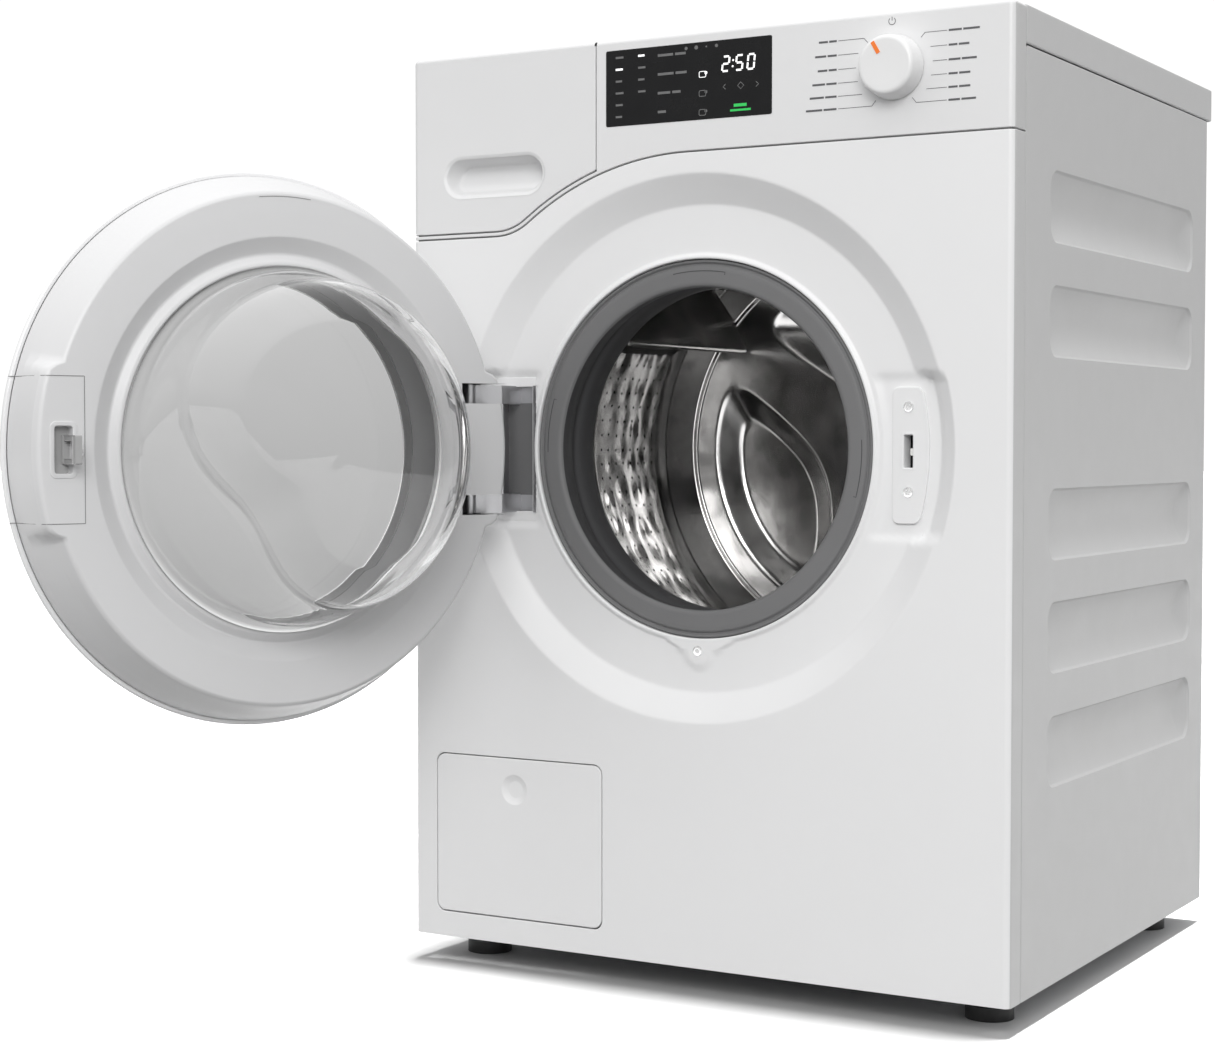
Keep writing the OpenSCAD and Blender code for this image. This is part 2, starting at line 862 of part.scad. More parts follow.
module tub_front() {
    color("whitesmoke")
    difference() {
        union() {
            revolve([[neck_r - 4, neck_y], [neck_r, neck_y], [neck_r, tub_y], [tub_ro, tub_y], [tub_ro, tub_split - 6],
                [tub_ro + 8, tub_split - 6], [tub_ro + 8, tub_split], [tub_ri, tub_split], [tub_ri, tub_y + 4],
                [neck_r - 4, tub_y + 4]]);
            translate([sump_x, sump_y, axis_z - tub_ri - 4])
                cylinder(r = hose_r, h = 40);
        }
        translate([0, 0, axis_z])
            y_rod(tub_ri, tub_y + 4, tub_split);
        translate([sump_x, sump_y, axis_z - tub_ro - 40])
            cylinder(r = hose_r - 3, h = 90);
    }
}

module tub_rear() {
    color("whitesmoke")
    difference() {
        union() {
            revolve([[tub_ri, tub_split], [tub_ro + 8, tub_split], [tub_ro + 8, tub_split + 6], [tub_ro, tub_split + 6],
                [tub_ro, tub_back], [0, tub_back], [0, tub_back - 5], [tub_ri, tub_back - 5]]);
            translate([0, 0, axis_z])
                y_rod(bearing_r_front + 10, hub_y0, hub_y1);
            for (i = [0:7])
                translate([0, 0, axis_z])
                    rotate([0, 45 * i, 0])
                        box([bearing_r_front, tub_back - 1, -2.5], [tub_ro - 4, tub_back + 14, 2.5]);
            for (side = [-1, 1]) {
                difference() {
                    box([side * spring_x - 16, brace_y + 3, lug_z - lug_h], [side * spring_x + 16, brace_y + 33, lug_z]);
                    translate([0, 0, axis_z])
                        y_rod(tub_ri + 1, brace_y, brace_y + 40);
                }
                difference() {
                    box([side * spring_x - 16 * (1 + side), brace_y + 14, axis_z + 90],
                        [side * spring_x + 16 * (1 - side), brace_y + 22, lug_z - 2]);
                    translate([0, 0, axis_z])
                        y_rod(tub_ri + 1, brace_y, brace_y + 40);
                }
                damper_lug(side);
            }
        }
        translate([0, 0, axis_z]) {
            y_rod(bearing_r_front, hub_y0 - 1, hub_y0 + 6 + bearing_w_front);
            y_rod(bearing_r_rear - 6, hub_y0, hub_y1 + 1);
            y_rod(bearing_r_rear, hub_y1 - bearing_w_rear, hub_y1 + 1);
        }
    }
}

// The pair of ears and the pin that a damper's rod hangs on
module damper_lug(side) {
    for (y = [damper_y - 14, damper_y + 9])
        difference() {
            box([side * damper_high[0] - 10, y, damper_high[1] - 9], [side * damper_high[0] + 10, y + 5, axis_z - 150]);
            translate([0, 0, axis_z])
                y_rod(tub_ri + 1, y - 1, y + 6);
        }
    translate([side * damper_high[0], 0, damper_high[1]])
        y_rod(damper_pin_r - open_gap, damper_y - 14, damper_y + 14);
}

module front_counterweight() {
    color("darkgray")
    revolve([[neck_r + 14, tub_y - 40], [tub_ro - 2, tub_y - 40], [tub_ro - 2, tub_y], [neck_r + 14, tub_y]]);
}

module top_counterweight() {
    y0 = brace_y + 40;
    color("darkgray")
    difference() {
        box([-90, y0, axis_z + 180], [150, tub_back - 4, lid_z - brace_h - 25]);
        translate([0, 0, axis_z])
            y_rod(tub_ro, y0 - 1, tub_back + 1);
    }
}

module heater() {
    r = (drum_r + drum_t + tub_ri) / 2;
    color("silver")
    translate([0, 0, axis_z])
        for (a = [-12, 12])
            rotate([0, 90 + a, 0])
                translate([r, 0, 0])
                    y_rod(3.5, tub_y + 40, tub_back - 5);
}

module bearings() {
    color("lightsteelblue")
    translate([0, 0, axis_z]) {
        y_tube(shaft_r + run_fit, bearing_r_front, hub_y0 + 6, hub_y0 + 6 + bearing_w_front);
        y_tube(shaft_r + run_fit, bearing_r_rear, hub_y1 - bearing_w_rear, hub_y1);
    }
}

module shaft_seal() {
    color("black")
    translate([0, 0, axis_z])
        y_tube(shaft_r + run_fit, bearing_r_front, hub_y0, hub_y0 + 6);
}

module motor_housing() {
    color("dimgray")
    difference() {
        union() {
            translate([0, 0, motor_z])
                y_rod(motor_r, motor_y0, motor_y1);
            box([-45, motor_y0 + 20, motor_z + motor_r - 20], [45, motor_y1 - 30, axis_z - tub_ri]);
        }
        translate([0, 0, axis_z])
            y_rod(tub_ro, motor_y0 - 1, motor_y1 + 1);
        translate([0, 0, motor_z]) {
            y_rod(rotor_r + 3, motor_y0 + 8, motor_y1 - 8);
            y_rod(8 + run_fit, motor_y1 - 20, motor_y1 + 1);
        }
    }
}

module door_gasket() {
    color("gray")
    revolve([[146, recess_depth + 2], [port_r - 0.5, recess_depth + 2], [port_r - 0.5, recess_depth + 6],
        [150, recess_depth + 6], [150, 46], [neck_r + 4, 46], [neck_r + 4, tub_y - 1], [neck_r, tub_y - 1],
        [neck_r, 50], [146, 50]]);
}

module gasket_clamp() {
    color("silver")
    translate([0, 0, axis_z])
        y_tube(neck_r + 4, neck_r + 7, neck_y + 3, neck_y + 9);
}

module sump_hose() {
    low = [pump_x, sump_y - 70, pump_z + filter_r + filter_fit + pump_wall + 12];
    high = [sump_x, sump_y, axis_z - tub_ri - 4];
    color("black")
    intersection() {
        box([low[0] - 3 * hose_r, low[1] - 3 * hose_r, low[2]], high + [3 * hose_r, 3 * hose_r, 0]);
        slanted_tube(low, high, hose_r - 3, hose_r);
    }
}

// A tube whose axis runs through two points and past them
module slanted_tube(low, high, r_in, r_out) {
    run = high - low;
    translate((low + high) / 2)
        rotate([0, acos(run[2] / norm(run)), atan2(run[1], run[0])])
            rotate(90)
                rotate_extrude()
                    translate([r_in, -norm(run)])
                        square([r_out - r_in, 2 * norm(run)]);
}

module suspension_springs() {
    color("gray")
    for (side = [-1, 1])
        translate([side * spring_x, brace_y + 18, lug_z])
            difference() {
                cylinder(r = spring_r, h = lid_z - brace_h - 4 - lug_z);
                translate([0, 0, -1])
                    cylinder(r = spring_r - 4, h = lid_z);
            }
}

// The belt's loop round both pulleys, grown by t
module belt_loop(t) {
    big = pulley_r + belt_gap + t;
    small = motor_pulley_r + belt_gap + t;
    reach = axis_z - motor_z;
    lean = asin((big - small) / reach);
    polygon(concat(
        [for (i = [0:48]) let (a = -lean + (180 + 2 * lean) * i / 48) [big * cos(a), axis_z + big * sin(a)]],
        [for (i = [0:16]) let (a = 180 + lean + (180 - 2 * lean) * i / 16)
            [small * cos(a), motor_z + small * sin(a)]]));
}

module drive_belt() {
    mid = pulley_y + pulley_w / 2;
    color("black")
    slab(mid - belt_w / 2, mid + belt_w / 2)
        difference() {
            belt_loop(belt_t);
            belt_loop(0);
        }
}

// ---- Drum ----

module drum_shell() {
    ro = drum_r + drum_t;
    color("lightgray")
    revolve([[mouth_r, drum_y], [mouth_r, drum_y + 8], [mouth_r + drum_t, drum_y + 8],
        [mouth_r + drum_t, drum_y + drum_t], [drum_r, drum_y + drum_t], [drum_r, drum_back], [ro, drum_back],
        [ro, drum_y]]);
}

module drum_rear_wall() {
    color("lightgray")
    revolve([[0, drum_back - drum_t], [drum_r, drum_back - drum_t], [drum_r, drum_back], [0, drum_back]]);
}

module drum_lifters() {
    y0 = drum_y + 14;
    y1 = drum_back - drum_t;
    color("gainsboro")
    for (i = [0:2])
        translate([0, 0, axis_z])
            rotate([0, 120 * i + lifter_turn, 0])
                difference() {
                    slab(y0, y1)
                        intersection() {
                            lifter_outline(0);
                            circle(r = drum_r, $fn = 180);
                        }
                    slab(y0 + drum_t, y1 - drum_t)
                        lifter_outline(drum_t);
                }
}

// A lifter's outline, moved in by t, with its foot past the drum's wall
module lifter_outline(t) {
    foot = 46 - 1.5 * t;
    top = drum_r - lifter_h + t;
    shoulder = drum_r - lifter_h * 0.55;
    polygon([[-foot, drum_r + 1], [-foot / 2, shoulder], [-9 + t / 2, top], [9 - t / 2, top], [foot / 2, shoulder],
        [foot, drum_r + 1]]);
}

module drum_spider() {
    color("gray")
    translate([0, 0, axis_z])
        difference() {
            union() {
                y_rod(40, drum_back, drum_back + 11);
                for (i = [0:2])
                    rotate([0, 120 * i + 30, 0])
                        box([30, drum_back, -16], [drum_r - 3, drum_back + 9, 16]);
            }
            y_rod(shaft_r, drum_back - 1, drum_back + 12);
        }
}

module drum_shaft() {
    color("silver")
    translate([0, 0, axis_z])
        y_rod(shaft_r, drum_back, pulley_y + pulley_w + 6);
}

module drum_pulley() {
    y1 = pulley_y + pulley_w;
    color("silver")
    translate([0, 0, axis_z]) {
        y_tube(pulley_r - 10, pulley_r, pulley_y, y1);
        y_tube(shaft_r, shaft_r + 14, pulley_y, y1);
        for (i = [0:4])
            rotate([0, 72 * i, 0])
                difference() {
                    box([shaft_r + 8, pulley_y + 5, -9], [pulley_r - 6, y1 - 5, 9]);
                    y_rod(shaft_r + 12, pulley_y, y1);
                    difference() {
                        y_rod(pulley_r + 5, pulley_y, y1);
                        y_rod(pulley_r - 10, pulley_y - 1, y1 + 1);
                    }
                }
    }
}

module motor_rotor() {
    color("silver")
    translate([0, 0, motor_z]) {
        y_rod(rotor_r, motor_y0 + 12, motor_y1 - 12);
        y_rod(8, motor_y1 - 12, pulley_y + pulley_w + 2);
        y_tube(8, motor_pulley_r, pulley_y, pulley_y + pulley_w);
    }
}

// ---- Dampers ----

// Places a damper that stands up from its lower pin, leaning towards the middle
module damper_place(side) {
    translate([side * damper_low[0], damper_y, damper_low[1]])
        rotate([0, -side * damper_tilt, 0])
            children();
}

module damper_cylinder(side) {
    damper_place(side)
        difference() {
            union() {
                y_rod(damper_eye_r, -10, 10);
                cylinder(r = damper_tube_r - 6, h = 24);
                translate([0, 0, 18])
                    cylinder(r = damper_tube_r, h = 88);
            }
            translate([0, 0, 30])
                cylinder(r = rod_r + 4, h = 80);
            y_rod(damper_pin_r, -11, 11);
        }
}

module damper_rod(side) {
    damper_place(side)
        difference() {
            union() {
                translate([0, 0, damper_l])
                    y_rod(damper_eye_r - 1, -8, 8);
                translate([0, 0, 56])
                    cylinder(r = rod_r, h = damper_l - 62);
                translate([0, 0, 56])
                    cylinder(r = rod_r + 4 - run_fit, h = 20);
            }
            translate([0, 0, damper_l])
                y_rod(damper_pin_r, -11, 11);
        }
}

module damper_cylinder_left() {
    color("dimgray")
    damper_cylinder(-1);
}

module damper_cylinder_right() {
    color("dimgray")
    damper_cylinder(1);
}

module damper_rod_left() {
    color("silver")
    damper_rod(-1);
}

module damper_rod_right() {
    color("silver")
    damper_rod(1);
}

// ---- Drawer, dial, flap and drain ----

module drawer_front() {
    color("white")
    difference() {
        union() {
            intersection() {
                union() {
                    front_skin(seam_z, body_h - fascia_t, fascia_t);
                    front_block(body_h - fascia_t, body_h);
                }
                slab(-1, wrap_d - 3)
                    drawer_outline(0);
            }
            translate([handle_x, 0, handle_z])
                slab(fascia_t - 1, handle_d + 3)
                    stadium(handle_w + 5, handle_h + 5);
        }
        translate([handle_x, 0, handle_z])
            slab(-1, handle_d)
                stadium(handle_w, handle_h);
    }
}

module drawer_tray() {
    w = tray_w;
    cuts = [0, 60, 118, w];
    color("whitesmoke")
    translate([tray_x0, fascia_t, tray_z])
        difference() {
            cube([w, tray_d + wrap_d - fascia_t - 2, tray_h]);
            for (i = [0:2])
                translate([cuts[i] + tray_wall, 22, tray_wall])
                    cube([cuts[i + 1] - cuts[i] - 2 * tray_wall, tray_d - 40, tray_h]);
        }
}

module dial_knob() {
    color("silver")
    translate([dial_x, 0, dial_z]) {
        y_rod(dial_r, -6, -1);
        y_rod(dial_r - 3, -dial_stand, -6);
        y_rod(dial_shaft_r, -1, 18);
        rotate([0, -30, 0])
            box([-1.5, -dial_stand - 0.8, 12], [1.5, -dial_stand, 22]);
    }
}

module service_flap() {
    x0 = flap_x0 + flap_gap;
    x1 = flap_x0 + flap_w - flap_gap;
    color("white")
    difference() {
        union() {
            box([x0, 0, flap_z0 + flap_gap_low], [x1, flap_t, flap_z0 + flap_h - flap_gap]);
            for (x = [x0, x1 - 12])
                difference() {
                    box([x, 0, flap_z0 + flap_gap_low], [x + 12, flap_pin_y + 3, flap_pin_z + 3.5]);
                    box([x - 1, flap_pin_y, flap_z0 - 3], [x + 13, flap_pin_y + 6, flap_pin_z - 2.5]);
                }
            for (x = [x0 - 5, x1 - 2])
                translate([x, flap_pin_y, flap_pin_z])
                    rotate([0, 90, 0])
                        cylinder(r = flap_pin_r, h = 7);
        }
        translate([pump_x, 0, flap_z0 + flap_h - 29])
            y_rod(13, -1, 1.5);
    }
}

module drain_filter() {
    color("dimgray")
    translate([pump_x, 0, pump_z]) {
        y_rod(filter_r, 14, 30);
        box([-filter_r + 5, 8, -3], [filter_r - 5, 14, 3]);
        y_tube(filter_r - 5, filter_r - 2, 30, pump_back - 14);
    }
}

module pump_impeller() {
    color("black")
    translate([pump_x, 0, pump_z]) {
        y_rod(7, pump_back + 2, pump_back + 18);
        y_rod(3, pump_back + 18, pump_back + 56);
        for (i = [0:3])
            rotate([0, 45 * i, 0])
                box([-impeller_r, pump_back + 4, -1.5], [impeller_r, pump_back + 16, 1.5]);
    }
}

module foot(x, y) {
    color("black")
    translate([x, y, 0]) {
        cylinder(r = foot_r, h = foot_h);
        cylinder(r = stud_r, h = pan_z + pan_rim + 8);
    }
}

module foot_front_left() {
    foot(-foot_x, foot_y[0]);
}

module foot_front_right() {
    foot(foot_x, foot_y[0]);
}

module foot_rear_left() {
    foot(-foot_x, foot_y[1]);
}

module foot_rear_right() {
    foot(foot_x, foot_y[1]);
}

base_pan();
side_panel_left();
side_panel_right();
rear_panel();
rear_cover();
front_panel();
lid();
control_fascia();
display_window();
control_board();
dispenser_housing();
cross_braces();
hinge_bracket();
lock_module();
screws();
inlet_valve();
pump_housing();
drain_outlet();
mains_inlet();
door_outer_cover();
door_window();
door_inner_frame();
door_glass();
hinge_pins();
latch_plate();
latch_hook();
tub_front();
tub_rear();
front_counterweight();
top_counterweight();
heater();
bearings();
shaft_seal();
motor_housing();
door_gasket();
gasket_clamp();
sump_hose();
suspension_springs();
drive_belt();
drum_shell();
drum_rear_wall();
drum_lifters();
drum_spider();
drum_shaft();
drum_pulley();
motor_rotor();
damper_cylinder_left();
damper_cylinder_right();
damper_rod_left();
damper_rod_right();
drawer_front();
drawer_tray();
dial_knob();
service_flap();
drain_filter();
pump_impeller();
foot_front_left();
foot_front_right();
foot_rear_left();
foot_rear_right();
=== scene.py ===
import json
from math import acos, atan2, cos, degrees, exp, hypot, log, pi, radians, sin, sqrt

import bmesh
import bpy
from mathutils import Matrix, Vector

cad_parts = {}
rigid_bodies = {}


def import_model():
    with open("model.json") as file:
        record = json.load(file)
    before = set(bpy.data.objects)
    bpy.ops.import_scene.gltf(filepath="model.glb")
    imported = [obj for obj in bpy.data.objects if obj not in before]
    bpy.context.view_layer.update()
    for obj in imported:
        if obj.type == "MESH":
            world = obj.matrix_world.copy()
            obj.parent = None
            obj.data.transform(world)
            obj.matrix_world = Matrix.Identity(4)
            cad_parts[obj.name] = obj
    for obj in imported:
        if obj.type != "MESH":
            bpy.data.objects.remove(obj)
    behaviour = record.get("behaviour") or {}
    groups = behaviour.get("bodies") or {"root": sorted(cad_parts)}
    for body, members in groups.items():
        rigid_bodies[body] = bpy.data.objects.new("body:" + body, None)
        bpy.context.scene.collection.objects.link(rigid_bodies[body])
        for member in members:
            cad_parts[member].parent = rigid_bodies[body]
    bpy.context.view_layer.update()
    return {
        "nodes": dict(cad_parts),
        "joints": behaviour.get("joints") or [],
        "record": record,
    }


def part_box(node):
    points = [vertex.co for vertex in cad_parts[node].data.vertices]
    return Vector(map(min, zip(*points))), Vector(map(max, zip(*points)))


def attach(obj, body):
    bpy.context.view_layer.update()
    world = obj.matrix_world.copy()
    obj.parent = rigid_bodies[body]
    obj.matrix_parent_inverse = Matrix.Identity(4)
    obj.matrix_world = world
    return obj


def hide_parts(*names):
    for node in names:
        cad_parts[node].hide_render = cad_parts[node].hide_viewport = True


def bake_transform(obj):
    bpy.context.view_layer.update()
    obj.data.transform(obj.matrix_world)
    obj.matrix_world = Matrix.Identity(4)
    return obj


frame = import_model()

# ---- Places taken from the frame ----

PANEL_LO, PANEL_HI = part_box("front_panel")
FASCIA_LO, FASCIA_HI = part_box("control_fascia")
SIDE_LO, SIDE_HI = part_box("side_panel_right")
DISPLAY_LO, DISPLAY_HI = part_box("display_window")
DIAL_LO, DIAL_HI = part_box("dial_knob")
DIAL_X, DIAL_Z = (DIAL_LO.x + DIAL_HI.x) / 2, (DIAL_LO.z + DIAL_HI.z) / 2
FLAP_LO, FLAP_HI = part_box("service_flap")
SHELL_LO, SHELL_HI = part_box("drum_shell")
REAR_LO, REAR_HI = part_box("drum_rear_wall")
COVER_LO, COVER_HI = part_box("door_outer_cover")
REAR_SCREW_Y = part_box("screws")[1].y

HALF_W = PANEL_HI.x
SIDE_T = SIDE_HI.x - SIDE_LO.x
WRAP_D = PANEL_HI.y
EDGE_R = 0.006
SKIRT_Z = PANEL_LO.z
AXIS_Z = (SHELL_LO.z + SHELL_HI.z) / 2
SEAM_GAP = 0.0015
SEAM_Z = FASCIA_LO.z - SEAM_GAP / 2
SEAM_TOP = PANEL_HI.z + SEAM_GAP / 2
SEAM_X0 = -0.205
SEAM_R_LOW = 0.060
SEAM_R_HIGH = 0.280
TOP_Z = FASCIA_HI.z
DRAWER_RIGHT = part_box("drawer_front")[1].x
STRIP_W = 0.005
FORWARD = Vector((0, -1, 0))
ROLLED = 0.0008

PORT_R = 0.168
RECESS_DEPTH = 0.015
RECESS_R = 0.2416
FLAT_R = 0.258

DOOR_R = (COVER_HI.z - COVER_LO.z) / 2
DOOR_STAND = 0.0395
DOOR_JOINT = next(j for j in frame["joints"] if j["name"] == "door_swing")
HINGE = Vector(DOOR_JOINT["pos_m"])
OPEN_ANGLE = radians(DOOR_JOINT["range_deg"][0])
HOOK_X = 0.200
LIFTER_TURN = -54
FLAP_X0 = FLAP_LO.x + 0.004
FLAP_X1 = FLAP_HI.x - 0.004
HINGE_WELL = (-0.2095, -0.1715, AXIS_Z - 0.0590, AXIS_Z + 0.0590)

HINGE_PITCH = 0.050
HINGE_HALF = 0.0090
LATCH_Y = 0.0122

DRUM_R = (REAR_HI.z - REAR_LO.z) / 2
DRUM_Y0 = SHELL_LO.y
DRUM_Y1 = REAR_LO.y


# ---- Materials ----

MAT = {}


def new_material(name):
    """The node tree and the Principled shader of a new material."""
    m = bpy.data.materials.new(name)
    m.use_nodes = True
    MAT[name] = m
    return m.node_tree, m.node_tree.nodes["Principled BSDF"]


def add(tree, kind, inputs=None, **settings):
    """A node with its settings. Inputs are linked where they are sockets, and set where they are values."""
    made = tree.nodes.new("ShaderNode" + kind)
    for name, value in settings.items():
        setattr(made, name, value)
    for name, value in (inputs or {}).items():
        if isinstance(value, bpy.types.NodeSocket):
            tree.links.new(value, made.inputs[name])
        else:
            made.inputs[name].default_value = value
    return made


def noise(tree, scale, detail=3.0, stretch=(1, 1, 1)):
    """A noise texture in object space, stretched along some axes."""
    where = add(tree, "TexCoord").outputs["Object"]
    place = add(tree, "Mapping", {"Scale": stretch, "Vector": where}).outputs["Vector"]
    return add(tree, "TexNoise", {"Scale": scale, "Detail": detail, "Vector": place}).outputs["Fac"]


def spread(tree, value, low, high):
    """Spreads the middle of a noise over a range."""
    scaled = {"From Min": 0.3, "From Max": 0.7, "To Min": low, "To Max": high, "Value": value}
    return add(tree, "MapRange", scaled).outputs["Result"]


def tinted(tree, value, colour, amount):
    """A colour that drifts by an amount with a value."""
    dark = (*[c * (1 - amount) for c in colour], 1)
    light = (*[min(1, c * (1 + amount)) for c in colour], 1)
    return blended(tree, value, dark, light)


def blended(tree, factor, a, b):
    """A colour from a to b as the factor goes from 0 to 1."""
    return add(tree, "Mix", {"Factor": factor, "A": a, "B": b}, data_type="RGBA").outputs["Result"]


def bump(tree, shader, value, distance):
    made = add(tree, "Bump", {"Distance": distance, "Strength": 1.0, "Height": value})
    tree.links.new(made.outputs["Normal"], shader.inputs["Normal"])


def moulded(name, colour, rough, grain=0.00003, scale=900, drift=0.012, coat=0.0, gloss=0.5):
    """Moulded plastic or enamel: a fine grain, and colour and gloss that drift a little."""
    tree, shader = new_material(name)
    cloud = noise(tree, 7, 2)
    tree.links.new(tinted(tree, cloud, colour, drift), shader.inputs["Base Color"])
    tree.links.new(spread(tree, noise(tree, 40), rough - 0.03, rough + 0.04), shader.inputs["Roughness"])
    shader.inputs["Coat Weight"].default_value = coat
    shader.inputs["Specular IOR Level"].default_value = gloss
    shader.inputs["Coat Roughness"].default_value = 0.12
    bump(tree, shader, noise(tree, scale, 2), grain)


def metal(name, colour, rough, stretch=(1, 1, 1), scale=300, grain=0.00002, drift=0.06):
    """Bare metal with marks of its drawing, casting or brushing."""
    tree, shader = new_material(name)
    shader.inputs["Metallic"].default_value = 1.0
    marks = noise(tree, scale, 4, stretch)
    tree.links.new(tinted(tree, marks, colour, drift), shader.inputs["Base Color"])
    tree.links.new(spread(tree, marks, rough * 0.8, rough * 1.25), shader.inputs["Roughness"])
    bump(tree, shader, marks, grain)


def rubber(name, colour, rough=0.6):
    moulded(name, colour, rough, grain=0.00006, scale=500, drift=0.08)


def clear(name, colour, rough, ior=1.47):
    """Clear moulded glass, with a very faint waviness."""
    tree, shader = new_material(name)
    shader.inputs["Transmission Weight"].default_value = 1.0
    shader.inputs["IOR"].default_value = ior
    tree.links.new(tinted(tree, noise(tree, 12), colour, 0.004), shader.inputs["Base Color"])
    tree.links.new(spread(tree, noise(tree, 30), rough, rough + 0.015), shader.inputs["Roughness"])
    bump(tree, shader, noise(tree, 9, 1), 0.00012)


def glowing(name, colour, strength):
    """A lit mark behind a dark window, a little uneven across its face."""
    tree, shader = new_material(name)
    tone = tinted(tree, noise(tree, 200, 1), colour, 0.05)
    tree.links.new(tone, shader.inputs["Base Color"])
    tree.links.new(tone, shader.inputs["Emission Color"])
    shader.inputs["Emission Strength"].default_value = strength


def unrolled(tree):
    """Each point's place on the unrolled drum wall: round it in X and along it in Y."""
    where = add(tree, "TexCoord").outputs["Object"]
    parts = add(tree, "SeparateXYZ", {"Vector": where}).outputs
    up = add(tree, "Math", {0: parts["Z"], 1: AXIS_Z}, operation="SUBTRACT").outputs["Value"]
    turn = add(tree, "Math", {0: parts["X"], 1: up}, operation="ARCTAN2").outputs["Value"]
    arc = add(tree, "Math", {0: turn, 1: DRUM_R}, operation="MULTIPLY").outputs["Value"]
    return add(tree, "CombineXYZ", {"X": arc, "Y": parts["Y"]}).outputs["Vector"]


def polished(name, rough):
    """Polished stainless steel, a little cloudy. Returns its tree, shader and colour."""
    tree, shader = new_material(name)
    shader.inputs["Metallic"].default_value = 1.0
    cloud = noise(tree, 16, 3)
    tree.links.new(spread(tree, cloud, rough * 0.7, rough * 1.5), shader.inputs["Roughness"])
    return tree, shader, tinted(tree, cloud, (0.50, 0.495, 0.49), 0.12)


def plain_drum_steel(name, rough):
    tree, shader, colour = polished(name, rough)
    tree.links.new(colour, shader.inputs["Base Color"])
    bump(tree, shader, noise(tree, 24, 2), 0.0008)


def dented_drum_steel(name, rough):
    """The drum wall's steel, with a shallow scale pattern and rows of small holes, painted near-black as the
    shade seen through them.
    """
    tree, shader, colour = polished(name, rough)
    place = unrolled(tree)
    squeezed = add(tree, "VectorMath", {0: place, 1: (0.95, 1.25, 1.0)},
                   operation="MULTIPLY").outputs["Vector"]
    cells = add(tree, "TexVoronoi", {"Scale": 30, "Randomness": 0.55, "Vector": squeezed},
                feature="SMOOTH_F1", voronoi_dimensions="2D")
    holes = add(tree, "TexVoronoi", {"Scale": 68, "Randomness": 0.12, "Vector": place},
                voronoi_dimensions="2D")
    # The holes are not cut: they are painted near-black, painted shade of the dark space behind the wall.
    solid = add(tree, "MapRange", {"From Min": 0.085, "From Max": 0.12, "Value": holes.outputs["Distance"]})
    tone = blended(tree, solid.outputs["Result"], (0.01, 0.01, 0.01, 1), colour)
    tree.links.new(tone, shader.inputs["Base Color"])
    bump(tree, shader, cells.outputs["Distance"], 0.0034)


moulded("front_paint", (0.82, 0.82, 0.823), 0.42, coat=0.25)
moulded("front_paint_door", (0.82, 0.82, 0.825), 0.3, coat=0.4)
moulded("fascia_plastic", (0.76, 0.76, 0.763), 0.42, coat=0.2)
moulded("drawer_plastic", (0.76, 0.76, 0.763), 0.42, coat=0.2)
# The sides and the lid get a darker grey than the front: painted shade, for the shaded sides of a machine
# that is white all over.
moulded("side_paint", (0.55, 0.55, 0.55), 0.5, drift=0.006)
moulded("lid_plastic", (0.56, 0.56, 0.56), 0.5, drift=0.006)
moulded("frame_plastic", (0.68, 0.68, 0.685), 0.4, coat=0.1)
moulded("inner_plastic", (0.78, 0.78, 0.76), 0.5)
moulded("hook_plastic", (0.38, 0.38, 0.38), 0.4)
moulded("tub_plastic", (0.6, 0.61, 0.6), 0.6)
moulded("dark_plastic", (0.045, 0.045, 0.05), 0.5, drift=0.1)
moulded("filter_plastic", (0.1, 0.1, 0.11), 0.5, drift=0.1)
moulded("black_plastic", (0.012, 0.012, 0.012), 0.45, drift=0.15)
moulded("display_black", (0.004, 0.004, 0.0045), 0.25, grain=0.000002, gloss=0.25)
moulded("circuit_board", (0.02, 0.16, 0.06), 0.45, drift=0.15)
moulded("dial_metal", (0.80, 0.80, 0.80), 0.35, coat=0.3)
moulded("concrete", (0.3, 0.29, 0.27), 0.85, grain=0.0004, scale=160, drift=0.2)
moulded("motor_metal", (0.03, 0.03, 0.032), 0.45, drift=0.15)
rubber("gasket_rubber", (0.155, 0.155, 0.157), 0.62)
rubber("gasket_inner", (0.05, 0.05, 0.052), 0.6)
rubber("black_rubber", (0.012, 0.012, 0.012))
rubber("foot_rubber", (0.01, 0.01, 0.01))
metal("zinc_steel", (0.55, 0.56, 0.58), 0.38, scale=60)
metal("screw_steel", (0.62, 0.62, 0.62), 0.25)
metal("brushed_steel", (0.55, 0.55, 0.55), 0.3, stretch=(1, 0.05, 1))
metal("bearing_steel", (0.65, 0.65, 0.66), 0.15)
metal("spring_steel", (0.35, 0.35, 0.37), 0.3)
metal("cast_aluminium", (0.5, 0.5, 0.52), 0.5, scale=400, grain=0.0001)
# Dark grey for the walls of the door's hinge slots and the back of the hinge well: painted shade in these
# recesses.
moulded("hinge_dark", (0.13, 0.13, 0.132), 0.5, drift=0.08)
metal("hinge_metal", (0.42, 0.42, 0.43), 0.36, stretch=(1, 1, 0.1), scale=200)
plain_drum_steel("drum_steel", 0.17)
dented_drum_steel("drum_dented", 0.19)
clear("bowl_glass", (0.985, 0.985, 0.985), 0.0)
clear("door_window_glass", (0.93, 0.93, 0.93), 0.02, ior=1.3)
moulded("seam_grey", (0.22, 0.22, 0.22), 0.7, drift=0.1)
moulded("print_grey", (0.09, 0.09, 0.095), 0.6)
moulded("print_orange", (0.9, 0.2, 0.02), 0.4)
glowing("lit_white", (0.9, 0.9, 0.9), 0.6)
glowing("lit_dim", (0.12, 0.12, 0.12), 0.15)
glowing("lit_green", (0.02, 0.45, 0.08), 0.35)


# ---- Mesh helpers ----

